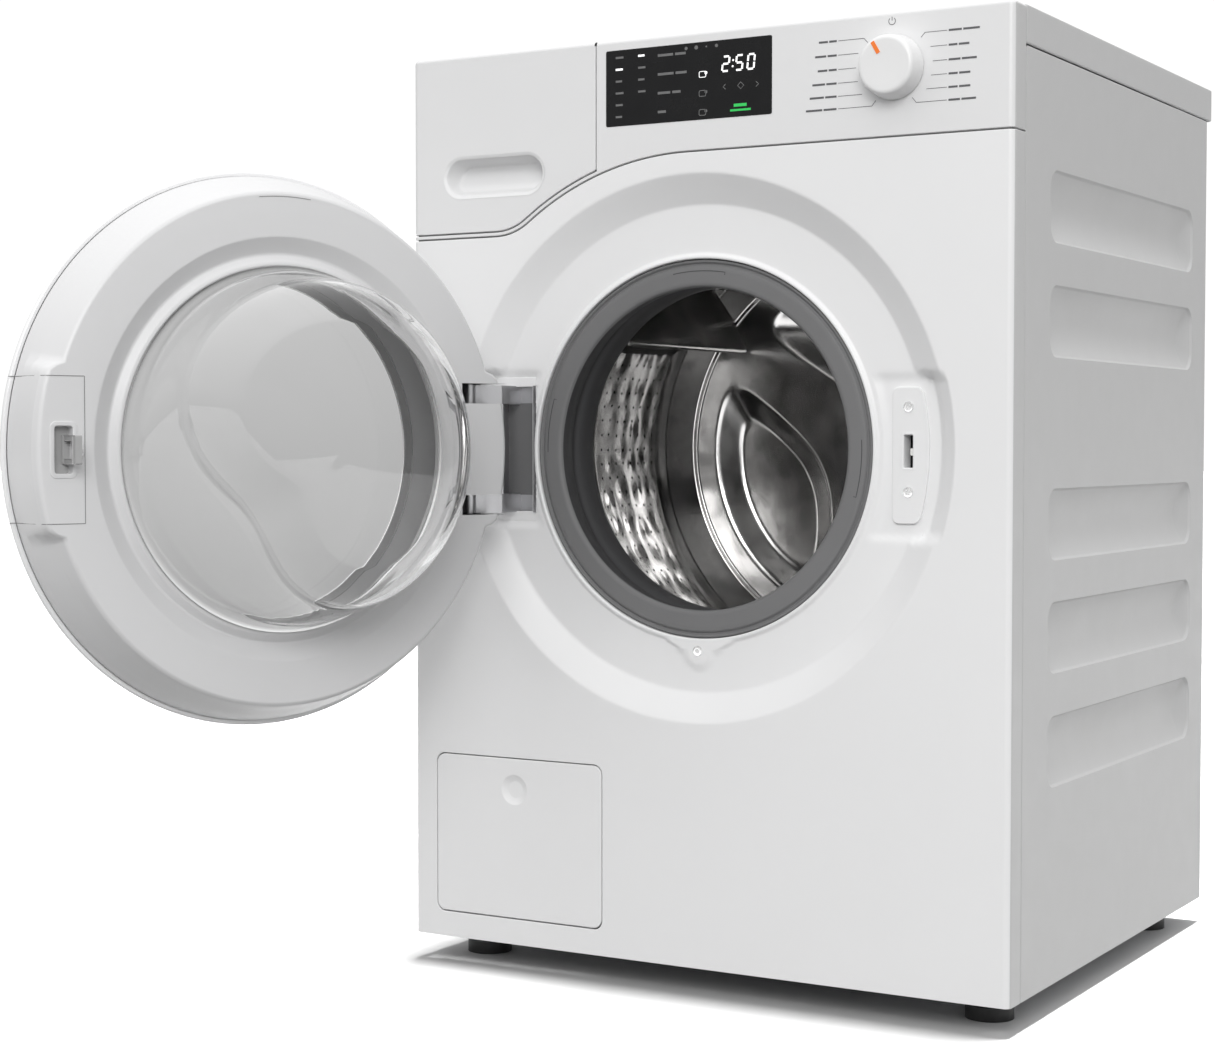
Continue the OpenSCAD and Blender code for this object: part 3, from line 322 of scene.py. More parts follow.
def piece(name, verts, faces, material, body, sharp=40, replaces=(), slot=None, weld=1e-5):
    """A shaded mesh piece that rides on a body."""
    mesh = bpy.data.meshes.new(name)
    mesh.from_pydata([tuple(v) for v in verts], [], [tuple(f) for f in faces])
    bm = bmesh.new()
    bm.from_mesh(mesh)
    bmesh.ops.remove_doubles(bm, verts=bm.verts, dist=weld)
    bmesh.ops.recalc_face_normals(bm, faces=bm.faces)
    bm.to_mesh(mesh)
    bm.free()
    mesh.shade_smooth()
    mesh.set_sharp_from_angle(angle=radians(sharp))
    obj = bpy.data.objects.new(name, mesh)
    bpy.context.scene.collection.objects.link(obj)
    mesh.materials.append(MAT[material])
    flatten_shading(obj)
    if body:
        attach(obj, body)
    if replaces:
        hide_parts(*replaces)
    return obj


def flatten_shading(obj):
    """Keeps large faces flat next to small rounded edges."""
    even = obj.modifiers.new("even", "WEIGHTED_NORMAL")
    even.keep_sharp = True
    even.weight = 90


class Shape:
    """Vertices and faces gathered from several surfaces."""

    def __init__(self):
        self.verts, self.faces = [], []

    def grid(self, rows, closed=False):
        """Adds a surface through rows of points. closed joins the last point of each row to its first."""
        base, wide = len(self.verts), len(rows[0])
        for row in rows:
            self.verts.extend(row)
        for i in range(len(rows) - 1):
            for j in range(wide if closed else wide - 1):
                k = (j + 1) % wide
                a, b = base + i * wide, base + (i + 1) * wide
                self.faces.append((a + j, a + k, b + k, b + j))

    def cap(self, row):
        """Adds one flat face over a closed row of points."""
        base = len(self.verts)
        self.verts.extend(row)
        self.faces.append(tuple(range(base, base + len(row))))

    def mesh(self, other):
        base = len(self.verts)
        self.verts.extend(v.co.copy() for v in other.vertices)
        self.faces.extend(tuple(base + i for i in p.vertices) for p in other.polygons)

    def piece(self, name, *settings, **more):
        return piece(name, self.verts, self.faces, *settings, **more)


def eased(t):
    t = max(0.0, min(1.0, t))
    return t * t * (3 - 2 * t)


def ramp(t, turn=0.07):
    """From 0 to 1 along a straight slope, with a short bend at each end."""
    t = max(0.0, min(1.0, t))
    low, high = min(t, turn), max(0.0, t - 1 + turn)
    return (low * low / (2 * turn) + max(0.0, t - turn) - high * high / (2 * turn)) / (1 - turn)


def soft(points, radius, steps=4, closed=True):
    """A polyline with its corners rounded."""
    made, n = [], len(points)
    for i, p in enumerate(points):
        if not closed and i in (0, n - 1):
            made.append(tuple(p))
            continue
        p, a, b = Vector(p), Vector(points[i - 1]), Vector(points[(i + 1) % n])
        cut = min(radius, (a - p).length * 0.45, (b - p).length * 0.45)
        start, end = p + (a - p).normalized() * cut, p + (b - p).normalized() * cut
        for k in range(steps + 1):
            t = k / steps
            made.append(tuple(start * (1 - t) ** 2 + p * 2 * t * (1 - t) + end * t * t))
    return made


def around(r, y, angle):
    """The point at a radius and clock angle about the drum axis."""
    return Vector((r * sin(angle), y, AXIS_Z + r * cos(angle)))


def turned(profile, steps=192, wave=None):
    """Rows of points for a profile of (radius, y) turned about the drum axis.
    wave(r, y, angle) may move a point."""
    rows = []
    for i in range(steps):
        a = 2 * pi * i / steps
        row = []
        for r, y in profile:
            if wave:
                r, y = wave(r, y, a)
            row.append(around(r, y, a))
        rows.append(row)
    rows.append([v.copy() for v in rows[0]])
    return rows


def lathe(name, profile, material, body, steps=192, wave=None, round_by=0.0008, closed=True, **more):
    """A turned piece. A closed profile is a solid ring or disc."""
    points = soft(profile, round_by, closed=closed) if round_by else list(profile)
    if closed:
        points = points + [points[0]]
    shape = Shape()
    shape.grid(turned(points, steps, wave))
    return shape.piece(name, material, body, **more)


def at_depth(loop, y):
    """A loop in X and Z as points at one depth."""
    return [Vector((x, y, z)) for x, z in loop]


def flat_fill(loops, y):
    """A flat face in X and Z with holes. The first loop is the outline."""
    curve = bpy.data.curves.new("fill", "CURVE")
    curve.dimensions = "2D"
    curve.fill_mode = "BOTH"
    for loop in loops:
        line = curve.splines.new("POLY")
        line.points.add(len(loop) - 1)
        for p, (x, z) in zip(line.points, loop):
            p.co = (x, z, 0, 1)
        line.use_cyclic_u = True
    obj = bpy.data.objects.new("fill", curve)
    bpy.context.scene.collection.objects.link(obj)
    bpy.context.view_layer.update()
    mesh = bpy.data.meshes.new_from_object(obj.evaluated_get(bpy.context.evaluated_depsgraph_get()))
    for v in mesh.vertices:
        v.co = (v.co.x, y, v.co.y)
    bpy.data.objects.remove(obj)
    bpy.data.curves.remove(curve)
    return mesh


def outward(loop):
    """Unit normals of a closed loop in X and Z, pointing away from its inside."""
    area = sum(a[0] * b[1] - b[0] * a[1] for a, b in zip(loop, loop[1:] + loop[:1]))
    sign = 1 if area > 0 else -1
    normals = []
    for i in range(len(loop)):
        a, b = Vector(loop[i - 1]), Vector(loop[(i + 1) % len(loop)])
        d = (b - a).normalized()
        normals.append(Vector((d.y, -d.x)) * sign)
    return normals


def pressed(shape, loop, steps, y=0.0, inward=True):
    """Adds rings along a closed loop, each moved by (offset in the plane, depth) of steps.
    inward moves to the loop's inside."""
    normals = outward(loop)
    side = -1 if inward else 1
    rows = []
    for offset, depth in steps:
        rows.append([Vector((p[0] + n.x * offset * side, y + depth, p[1] + n.y * offset * side))
                     for p, n in zip(loop, normals)])
    shape.grid(rows, closed=True)
    return rows


def dished(shape, loop, middle, shares, depth):
    """Adds a dished pocket inside a loop. Each ring lies a share of the way in to the middle line, at
    depth(share, height)."""
    x0, x1, cz = middle
    tall = max(p[1] for p in loop) - cz
    rows = []
    for share in shares:
        row = []
        for px, pz in loop:
            mx = min(max(px, x0), x1)
            x, z = px + (mx - px) * share, pz + (cz - pz) * share
            row.append(Vector((x, depth(share, (z - cz) / tall), z)))
        rows.append(row)
    shape.grid(rows, closed=True)


def roll(radius, depth, steps=4):
    """(offset, depth) of an edge that rolls over and then runs straight in."""
    made = []
    for k in range(steps + 1):
        a = pi / 2 * k / steps
        made.append((radius * sin(a), radius * (1 - cos(a))))
    return made + [(radius, depth)]


def rounded_rect(x0, z0, x1, z1, r, steps=6):
    """A closed loop round a rectangle with round corners, in X and Z."""
    made = []
    for cx, cz, start in ((x1 - r, z0 + r, -90), (x1 - r, z1 - r, 0), (x0 + r, z1 - r, 90),
                          (x0 + r, z0 + r, 180)):
        for k in range(steps + 1):
            a = radians(start + 90 * k / steps)
            made.append((cx + r * cos(a), cz + r * sin(a)))
    return made


def stadium(cx, cz, w, h, steps=14):
    return rounded_rect(cx - w / 2, cz - h / 2, cx + w / 2, cz + h / 2, h / 2 - 1e-5, steps)


def circle(cx, cz, r, steps=64):
    return [(cx + r * cos(2 * pi * k / steps), cz + r * sin(2 * pi * k / steps)) for k in range(steps)]


def bevelled(obj, width, segments=3):
    b = obj.modifiers.new("round", "BEVEL")
    b.width = width
    b.segments = segments
    b.limit_method = "ANGLE"
    b.angle_limit = radians(35)
    b.harden_normals = True
    return obj


def keep(node, material, width=0.0):
    """Gives a CAD node its material, and softens its edges where a width is given."""
    obj = frame["nodes"][node]
    obj.data.materials.clear()
    obj.data.materials.append(MAT[material])
    if width:
        weld = obj.modifiers.new("weld", "WELD")
        weld.merge_threshold = 1e-5
        bevelled(obj, width)
    return obj


def cut_out(obj, *boxes):
    """Cuts boxes, each (low corner, high corner), out of a mesh piece in place."""
    for low, high in boxes:
        bm = bmesh.new()
        bmesh.ops.create_cube(bm, size=1)
        size = [h - l for l, h in zip(low, high)]
        centre = [(h + l) / 2 for l, h in zip(low, high)]
        bmesh.ops.transform(bm, matrix=Matrix.Translation(centre) @ Matrix.Diagonal((*size, 1)),
                            verts=bm.verts)
        mesh = bpy.data.meshes.new("cutter")
        bm.to_mesh(mesh)
        bm.free()
        cutter = bpy.data.objects.new("cutter", mesh)
        bpy.context.scene.collection.objects.link(cutter)
        mod = obj.modifiers.new("cut", "BOOLEAN")
        mod.object = cutter
        mod.operation = "DIFFERENCE"
        mod.solver = "EXACT"
        bpy.context.view_layer.update()
        done = bpy.data.meshes.new_from_object(obj.evaluated_get(bpy.context.evaluated_depsgraph_get()))
        obj.modifiers.clear()
        obj.data = done
        bpy.data.objects.remove(cutter)
    obj.data.shade_smooth()
    obj.data.set_sharp_from_angle(angle=radians(35))
    flatten_shading(obj)
    return obj


def swung_open(obj):
    """Turns a piece built on the closed door to where the frame's open door is."""
    turn = Matrix.Translation(HINGE) @ Matrix.Rotation(OPEN_ANGLE, 4, "Z") @ Matrix.Translation(-HINGE)
    obj.data.transform(turn)
    return obj


def on_door(obj, node=None, body="door"):
    """Turns a piece to the open door, where it rides, and may replace a CAD node."""
    swung_open(obj)
    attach(obj, body)
    if node:
        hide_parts(node)


# ---- Front panel ----

def seam_line(lift=0.0, steps=14):
    """Points of the seam under the fascia, from its lower bend to its upper bend, in X and Z."""
    turn = acos(1 - (SEAM_TOP - SEAM_Z) / (SEAM_R_LOW + SEAM_R_HIGH))
    x1 = SEAM_X0 + (SEAM_R_LOW + SEAM_R_HIGH) * sin(turn)
    made = []
    for k in range(steps + 1):
        a = turn * k / steps
        r = SEAM_R_LOW - lift
        made.append((SEAM_X0 + r * sin(a), SEAM_Z + SEAM_R_LOW - r * cos(a)))
    for k in range(steps * 2 - 1, -1, -1):
        a = turn * k / (steps * 2)
        r = SEAM_R_HIGH + lift
        made.append((x1 - r * sin(a), SEAM_TOP - SEAM_R_HIGH + r * cos(a)))
    return made


def seam_height(x, lift=0.0):
    """Height of the seam at x."""
    line = seam_line(lift)
    if x <= line[0][0]:
        return SEAM_Z + lift
    for a, b in zip(line, line[1:]):
        if a[0] <= x <= b[0] and b[0] > a[0]:
            return a[1] + (b[1] - a[1]) * (x - a[0]) / (b[0] - a[0])
    return SEAM_TOP + lift


def wrap(side, steps=6):
    """Points (x, y, normal) round one upright edge of the front, from the flat face to the wrap's end."""
    made = []
    for k in range(steps + 1):
        a = pi / 2 * k / steps
        made.append((side * (HALF_W - EDGE_R + EDGE_R * sin(a)), EDGE_R * (1 - cos(a)),
                     Vector((side * sin(a), -cos(a), 0))))
    made.append((side * HALF_W, WRAP_D - 0.001, Vector((side, 0, 0))))
    return made


def recess(r, angle):
    """Depth of the front face at a radius and a clock angle from the top."""
    z = r * cos(angle)
    x = r * sin(angle)
    band = eased((0.072 - abs(z + 0.0065)) / 0.007) if x > 0 else eased((0.073 - abs(z)) / 0.006)
    outer = RECESS_R + 0.0015 + 0.005 * band
    inner = RECESS_R - 0.027 + 0.014 * band
    depth = RECESS_DEPTH * ramp((outer - r) / (outer - inner))
    band_reach = eased((r - 0.176) / 0.01)
    depth += 0.0026 * band * band_reach * eased((RECESS_R - 0.004 - r) / 0.010)
    tab = drop_tab(x, z)
    lip = eased((0.1735 - r) / 0.003)
    return depth - 0.0022 * max(lip, tab)


def drop_tab(x, z):
    """How much of the drop-shaped tab under the port covers a point, from 0 to 1."""
    low = -0.179
    d = hypot(x - 0.001, z - low)
    round_end = eased((0.0165 - d) / 0.003)
    half = 0.0165 + 0.020 * eased((z - low + 0.004) / 0.016)
    neck = eased((half - abs(x - 0.001)) / 0.003) if low < z < -0.140 else 0
    return max(round_end, neck)


def front_panel():
    shape = Shape()
    radii = [PORT_R + 0.0010, PORT_R + 0.0016]
    radii += [PORT_R + 0.0020 + k * 0.0011 for k in range(8)]
    radii += [0.1785 + k * 0.0035 for k in range(10)]
    radii += [0.2125 + k * (FLAT_R - 0.2125) / 34 for k in range(35)]
    steps = 360
    lip = [(PORT_R, RECESS_DEPTH + 0.004), (PORT_R, RECESS_DEPTH - 0.0008),
           (PORT_R + 0.0004, RECESS_DEPTH - 0.0018)]
    rows = []
    for i in range(steps + 1):
        a = 2 * pi * i / steps
        row = [around(r, y, a) for r, y in lip]
        row += [Vector((r * sin(a), recess(r, a), AXIS_Z + r * cos(a))) for r in radii]
        rows.append(row)
    shape.grid(rows)
    edge = ROLLED
    g = SEAM_GAP / 2 + edge
    flat_x = HALF_W - EDGE_R
    top = [(x, z) for x, z in seam_line(-g) if -flat_x < x < flat_x]
    outline = [(-flat_x, SKIRT_Z), (flat_x, SKIRT_Z),
               (flat_x, SEAM_TOP - g)] + top[::-1] + [(-flat_x, SEAM_Z - g)]
    hole = rounded_rect(FLAP_X0 - 0.0009 - edge, FLAP_LO.z - 0.0012 - edge, FLAP_X1 + 0.0009 + edge,
                        FLAP_HI.z + 0.0009 + edge, 0.009 + edge, 8)
    ring = [(FLAT_R * sin(2 * pi * i / steps), AXIS_Z + FLAT_R * cos(2 * pi * i / steps))
            for i in range(steps)]
    shape.mesh(flat_fill([outline, ring, hole], 0.0))
    pressed(shape, hole, roll(edge, 0.012), inward=True)
    for side, z in ((-1, SEAM_Z), (1, SEAM_TOP)):
        columns = wrap(side)
        shape.grid([[Vector((x, y, SKIRT_Z)), Vector((x, y, z - g))] for x, y, _ in columns])
    path = [(x, y, n, SEAM_Z - g) for x, y, n in wrap(-1)[::-1]]
    path += [(x, 0.0, FORWARD, z) for x, z in top]
    path += [(x, y, n, SEAM_TOP - g) for x, y, n in wrap(1)]
    rows = []
    for offset, depth in roll(edge, 0.010):
        rows.append([Vector((x, y, z + offset)) - n * depth for x, y, n, z in path])
    shape.grid(rows)
    under = [(x, y, n) for x, y, n in wrap(-1)[::-1]] + [(x, y, n) for x, y, n in wrap(1)]
    shape.grid([[Vector((x, y, SKIRT_Z - offset)) - n * depth for x, y, n in under]
                for offset, depth in ((0, 0), (0.0, 0.0004), (0.0, 0.008))])
    slot = (HOOK_X - 0.0090, HOOK_X + 0.0090, AXIS_Z - 0.0205, AXIS_Z + 0.0165)
    shape.faces = [f for f in shape.faces if not any(within(shape.verts[i], box) for i in f
                                                     for box in (slot, HINGE_WELL))]
    return wrap_in_side_shade(shape.piece("front_panel_skin", "front_paint", "cabinet", sharp=50,
                                 replaces=["front_panel"], slot="front_paint"))


def wrap_in_side_shade(obj):
    """Gives the strips that wrap onto the sides the darker paint of the sides, which is painted shade."""
    obj.data.materials.append(MAT["side_paint"])
    for face in obj.data.polygons:
        if abs(face.normal.x) > 0.9 and abs(face.center.x) > HALF_W - 0.001:
            face.material_index = 1
    return obj


def hinge_well():
    """The flush surround of the hinge opening, and the back of the well between the arms, painted dark grey
    as shade.
    """
    x0, x1, z0, z1 = HINGE_WELL
    loop = rounded_rect(x0 - 0.007, z0 - 0.007, x1 + 0.007, z1 + 0.007, 0.004)
    hole = rounded_rect(x0 + 0.0008, z0 + 0.0008, x1 - 0.0008, z1 - 0.0008, 0.0015)
    y = RECESS_DEPTH + 0.0022
    shape = Shape()
    shape.mesh(flat_fill([loop, hole], y))
    pressed(shape, loop, [(0, 0), (0.0012, 0.0006)], y, inward=False)
    pressed(shape, hole, roll(0.0006, 0.004), y)
    shape.piece("hinge_surround", "front_paint", "cabinet", sharp=50)
    back = Shape()
    flat = [Vector((x, RECESS_DEPTH + 0.0088 + 0.0008 * cos((x - x0) * 90), z))
            for x, z in rounded_rect(x0 + 0.0012, AXIS_Z - 0.0425, x1 - 0.0012, AXIS_Z + 0.0425, 0.002)]
    back.cap(flat)
    back.piece("hinge_back", "hinge_dark", "cabinet")
    lip = Shape()
    lip.grid([[Vector((x1 - dx, y + dy, z)) for z in (z0 + 0.001, z1 - 0.001)]
              for dx, dy in ((0.0050, 0.005), (0.0048, 0.0004), (0.0042, 0), (0.0016, 0), (0.0010, 0.0004),
                             (0.0008, 0.004))])
    lip.piece("hinge_lip", "frame_plastic", "cabinet", sharp=50)


def cad_mesh(node):
    """Copies of a CAD node's vertices and faces."""
    data = frame["nodes"][node].data
    return [v.co.copy() for v in data.vertices], [tuple(p.vertices) for p in data.polygons]


def hinge_plate():
    """The hinge bracket, with the plate that lies in the well cut to the well's height."""
    verts, faces = cad_mesh("hinge_bracket")
    reach, well_y = 0.0585, 0.0145
    for v in verts:
        if v.y > well_y:
            v.z = min(max(v.z, AXIS_Z - reach), AXIS_Z + reach)
    made = piece("hinge_plate", verts, faces, "hinge_metal", "cabinet", sharp=30,
                 replaces=["hinge_bracket"], slot=SLOT_OF["hinge_bracket"])
    bevelled(made, 0.0006)


def lock_housing():
    """The lock's case behind the panel, set back under the panel's skin."""
    verts, faces = cad_mesh("lock_module")
    for v in verts:
        v.y = max(v.y, RECESS_DEPTH + 0.0042)
    piece("lock_case", verts, faces, "dark_plastic", "cabinet", sharp=30, replaces=["lock_module"],
          slot=SLOT_OF["lock_module"])


def within(v, box):
    return box[0] < v.x < box[1] and box[2] < v.z < box[3] and v.y > 0.005


def lock_plate():
    """The white plate over the door lock, with its slot."""
    y = RECESS_DEPTH + 0.0016
    z0, z1 = AXIS_Z - 0.062, AXIS_Z + 0.052
    right = []
    for k in range(21):
        z = z0 + 0.004 + (z1 - z0 - 0.008) * k / 20
        right.append((sqrt(0.222 ** 2 - (z - AXIS_Z) ** 2) - 0.004, z))
    loop = [(0.186, z1), (0.186, z0), (right[0][0] - 0.004, z0)] + right + [(right[-1][0] - 0.004, z1)]
    loop = [tuple(p) for p in soft([Vector(p) for p in loop], 0.006, 5)]
    slot = rounded_rect(HOOK_X - 0.0065, AXIS_Z - 0.018, HOOK_X + 0.0065, AXIS_Z + 0.0148, 0.0035)
    shape = Shape()
    shape.mesh(flat_fill([loop, slot], y - 0.0016))
    pressed(shape, loop, roll(0.0007, 0.004), y - 0.0016, inward=False)
    pressed(shape, slot, [(0, 0), (0.0010, -0.0006), (0.0020, -0.0004), (0.0026, 0.0006), (0.0026, 0.014)],
            y - 0.0016)
    return shape.piece("lock_plate", "front_paint", "cabinet", sharp=50)


def lock_nib():
    """The light striker nib inside the lock's slot."""
    nib = Shape()
    loop = rounded_rect(HOOK_X + 0.0010, AXIS_Z - 0.005, HOOK_X + 0.0045, AXIS_Z + 0.001, 0.001)
    nib.cap(at_depth(loop, RECESS_DEPTH + 0.002))
    pressed(nib, loop, [(0, 0), (0, 0.0055)], RECESS_DEPTH + 0.002, inward=False)
    return nib.piece("lock_nib", "inner_plastic", "cabinet")


def screw_head(name, x, z, y, r=0.0045, facing=1):
    """A round screw head with a star recess, its face towards the front, or towards the back."""
    shape = Shape()
    angles = [2 * pi * k / 48 for k in range(48)]
    rows = []
    for share, lift, star in ((1.0, 0.0006, 0), (1.0, -0.0004, 0), (0.94, -0.0009, 0), (0.80, -0.0011, 0),
                              (0.45, -0.0011, 0), (0.42, -0.0009, 0.16), (0.36, 0.0006, 0.16)):
        reach = [(r * share * (1 + star * cos(6 * a)), a) for a in angles]
        rows.append([Vector((x + out * sin(a), y + lift * facing, z + out * cos(a))) for out, a in reach])
    shape.grid(rows, closed=True)
    shape.cap(rows[-1])
    return shape.piece(name, "screw_steel", "cabinet", sharp=35)


# ---- Fascia, drawer front, lid and sides ----

def front_path(x0, x1):
    """Points (x, y, normal) along the front between two x, with the wrap where x reaches a side."""
    made = []
    if x0 <= -HALF_W + EDGE_R:
        made += wrap(-1)[::-1]
        x0 = -HALF_W + EDGE_R
    last = min(x1, HALF_W - EDGE_R)
    count = max(2, int((last - x0) / 0.004))
    first = 0 if x0 > -HALF_W + EDGE_R else 1
    made += [(x0 + (last - x0) * k / count, 0.0, FORWARD) for k in range(first, count)]
    if x1 >= HALF_W - EDGE_R:
        made += wrap(1)
    else:
        made.append((x1, 0.0, FORWARD))
    return made


def upright_profile(x, y, n, z0, z1, edge=ROLLED, top=0.004):
    """One column of the fascia's skin: a rolled lower edge, the face, and a rolled top that runs back."""
    down = [Vector((x, y, z0 + edge - offset)) - n * depth for offset, depth in roll(edge, 0.010)[::-1]]
    up = []
    for k in range(5):
        a = pi / 2 * k / 4
        up.append(Vector((x, y, z1 - top + top * sin(a))) - n * top * (1 - cos(a)))
    return down + up + [Vector((x * 0.985, WRAP_D, z1))]


def control_fascia():
    """The fascia right of the drawer, and the strip that runs under the drawer front."""
    shape = Shape()
    columns = []
    for x, y, n in front_path(DRAWER_RIGHT + SEAM_GAP, HALF_W):
        z0 = seam_height(x, SEAM_GAP / 2) if y == 0.0 and x < HALF_W - EDGE_R else SEAM_TOP + SEAM_GAP / 2
        columns.append(upright_profile(x, y, n, z0, TOP_Z))
    shape.grid(columns)
    first = columns[0]
    shape.grid([first, [Vector((v.x - 0.0004, v.y + 0.0008, v.z)) for v in first],
                [Vector((v.x - 0.0004, v.y + 0.012, v.z)) for v in first]])
    strip, rim = [], roll(0.0006, 0.010)
    for x, y, n in front_path(-HALF_W, DRAWER_RIGHT + SEAM_GAP):
        z0 = seam_height(x, SEAM_GAP / 2) if y == 0.0 else SEAM_Z + SEAM_GAP / 2
        z1 = (seam_height(x, STRIP_W - SEAM_GAP) if y == 0.0 else SEAM_Z + STRIP_W - SEAM_GAP)
        row = [Vector((x, y, z0 + 0.0006 - offset)) - n * depth for offset, depth in rim[::-1]]
        row += [Vector((x, y, z1 - 0.0006 + offset)) - n * depth for offset, depth in rim]
        strip.append(row)
    shape.grid(strip)
    return wrap_in_side_shade(shape.piece("fascia_skin", "fascia_plastic", "cabinet", sharp=50,
                                 replaces=["control_fascia"], slot="fascia_plastic"))


def seam_backing():
    """A grey strip behind the seams, so that they read as fine shadows."""
    shape = Shape()
    line = [(-HALF_W + 0.004, SEAM_Z)] + seam_line() + [(HALF_W - 0.004, SEAM_TOP)]
    shape.grid([[Vector((x, 0.0030, z + rise)) for x, z in line] for rise in (-0.004, 0.008)])
    low = seam_height(DRAWER_RIGHT) + 0.002
    shape.grid([[Vector((DRAWER_RIGHT + dx, 0.0032, z)) for dx in (-0.004, 0.004)]
                for z in (low, TOP_Z - 0.008)])
    shape.piece("seam_backing", "seam_grey", "cabinet")


def drawer_front():
    """The drawer's tall front, with a soft-edged finger recess."""
    edge = ROLLED
    cx, cz = -0.2075, AXIS_Z + 0.252
    flat_x = -HALF_W + EDGE_R
    right = DRAWER_RIGHT - edge
    line = [(x, z) for x, z in seam_line(STRIP_W + edge) if x < right]
    end_z = seam_height(right, STRIP_W + edge)
    top = TOP_Z - 0.004
    outline = [(flat_x, SEAM_Z + STRIP_W + edge)] + line + [(right, end_z), (right, top), (flat_x, top)]
    hole = stadium(cx, cz, 0.112, 0.040)
    shape = Shape()
    shape.mesh(flat_fill([outline, hole], 0.0))

    def scoop(share, height):
        if share < 0.16:
            return 0.0012 * eased(share / 0.16) - 0.0002
        floor = 0.0085 + 0.0120 * eased((height + 0.75) / 1.3)
        return 0.0010 + floor * eased((share - 0.14) / 0.26)

    shares = [0, 0.03, 0.06, 0.10, 0.14, 0.16, 0.18, 0.21, 0.25, 0.30, 0.36, 0.42, 0.50, 0.60, 0.70, 0.80,
              0.90, 1.0]
    dished(shape, hole, (cx - 0.036, cx + 0.036, cz), shares, scoop)
    path = [(x, y, n, SEAM_Z + STRIP_W + edge) for x, y, n in wrap(-1)[::-1]]
    path += [(x, 0.0, FORWARD, z) for x, z in line + [(right, end_z)]]
    rim = roll(edge, 0.012)
    shape.grid([[Vector((x, y, z - offset)) - n * depth for x, y, n, z in path] for offset, depth in rim])
    shape.grid([[Vector((right + offset, depth, z)) for z in (end_z, top)] for offset, depth in rim])
    shape.grid([[Vector((x, y, SEAM_Z + STRIP_W + edge)), Vector((x, y, top))] for x, y, n in wrap(-1)])
    over = [(x, y, n) for x, y, n in wrap(-1)[::-1]] + [(right, 0.0, FORWARD)]
    rows = []
    for k in range(5):
        a = pi / 2 * k / 4
        rows.append([Vector((x, y, top + 0.004 * sin(a))) - n * 0.004 * (1 - cos(a)) for x, y, n in over])
    rows.append([Vector((max(x, -HALF_W + 0.004), WRAP_D, TOP_Z)) for x, y, n in over])
    shape.grid(rows)
    return wrap_in_side_shade(shape.piece("drawer_face", "drawer_plastic", "drawer", sharp=50,
                                 replaces=["drawer_front"], slot="drawer_plastic"))


SIDE_GRIPS = (0.226, 0.324, 0.421, 0.594, 0.691)
GRIP_Y0, GRIP_Y1 = 0.086, 0.501
GRIP_HALF = 0.031
GRIP_R = 0.017


def side_panel(side, node):
    """A side sheet with five pressed grips."""
    edge = 0.0012
    lo_y, hi_y, lo_z, hi_z = SIDE_LO.y + edge, SIDE_HI.y - edge, SIDE_LO.z, SIDE_HI.z - edge
    outline = [(lo_y, lo_z), (hi_y, lo_z), (hi_y, hi_z), (lo_y, hi_z)]
    loops = []
    for z in SIDE_GRIPS:
        loops.append(rounded_rect(GRIP_Y0, z - GRIP_HALF, GRIP_Y1, z + GRIP_HALF, GRIP_R, 8))
    shape = Shape()
    shape.mesh(flat_fill([outline] + loops, 0.0))
    shares = [0, 0.01, 0.025, 0.04, 0.055, 0.07, 0.085] + [0.05 * k for k in range(2, 21)]

    def pressing(share, _):
        return 0.0085 * (1 - (1 - share) ** 2) + 0.0013 * eased(share / 0.08)

    for loop in loops:
        middle = sum(p[1] for p in loop) / len(loop)
        dished(shape, loop, (0.117, 0.470, middle), shares, pressing)
    rim = roll(edge, SIDE_T)
    for a, b, n in (((lo_y, lo_z), (lo_y, hi_z), (-1, 0)), ((lo_y, hi_z), (hi_y, hi_z), (0, 1)),
                    ((hi_y, hi_z), (hi_y, lo_z), (1, 0))):
        shape.grid([[Vector((p[0] + n[0] * o, d, p[1] + n[1] * o)) for p in (a, b)] for o, d in rim])
    verts = [Vector((side * (HALF_W - v.y), v.x, v.z)) for v in shape.verts]
    # side_paint is darker than the front paint: painted shade on the sides.
    return piece(node + "_skin", verts, shape.faces, "side_paint", "cabinet", sharp=50, replaces=[node],
                 slot="side_paint")


# ---- Display and print ----

def printed(name, shapes, material, y, body="cabinet", thick=0.00015):
    """Thin flat marks on the front, each a loop in X and Z."""
    shape = Shape()
    for loop in shapes:
        shape.cap(at_depth(loop, y))
        pressed(shape, loop, [(0, 0), (0, thick)], y, inward=False)
    return shape.piece(name, material, body, weld=1e-7)


def stroke(points, width):
    """A closed loop round a polyline, of one width."""
    left, right = [], []
    for i, p in enumerate(points):
        p = Vector(p)
        a = Vector(points[max(i - 1, 0)])
        b = Vector(points[min(i + 1, len(points) - 1)])
        d = (b - a).normalized()
        n = Vector((-d.y, d.x)) * width / 2
        left.append(tuple(p + n))
        right.append(tuple(p - n))
    return left + right[::-1]


def arc_points(cx, cz, r, start, end, steps=16):
    return [(cx + r * cos(radians(start + (end - start) * k / steps)),
             cz + r * sin(radians(start + (end - start) * k / steps))) for k in range(steps + 1)]


SEGMENTS = {"0": "abcdef", "2": "abged", "5": "afgcd"}


def digit(char, x, z, w, h, t):
    """The seven-segment strokes of a digit, leaning a little."""
    lean = 0.10
    corners = {"tl": (0, h), "tr": (w, h), "ml": (0, h / 2), "mr": (w, h / 2), "bl": (0, 0), "br": (w, 0)}
    ends = {"a": ("tl", "tr"), "b": ("tr", "mr"), "c": ("mr", "br"), "d": ("bl", "br"), "e": ("ml", "bl"),
            "f": ("tl", "ml"), "g": ("ml", "mr")}
    made = []
    for s in SEGMENTS[char]:
        (ax, az), (bx, bz) = (corners[k] for k in ends[s])
        d = Vector((bx - ax, bz - az)).normalized() * t * 0.35
        a, b = (ax + d.x, az + d.y), (bx - d.x, bz - d.y)
        made.append(stroke([(x + a[0] + lean * a[1], z + a[1]), (x + b[0] + lean * b[1], z + b[1])], t))
    return made


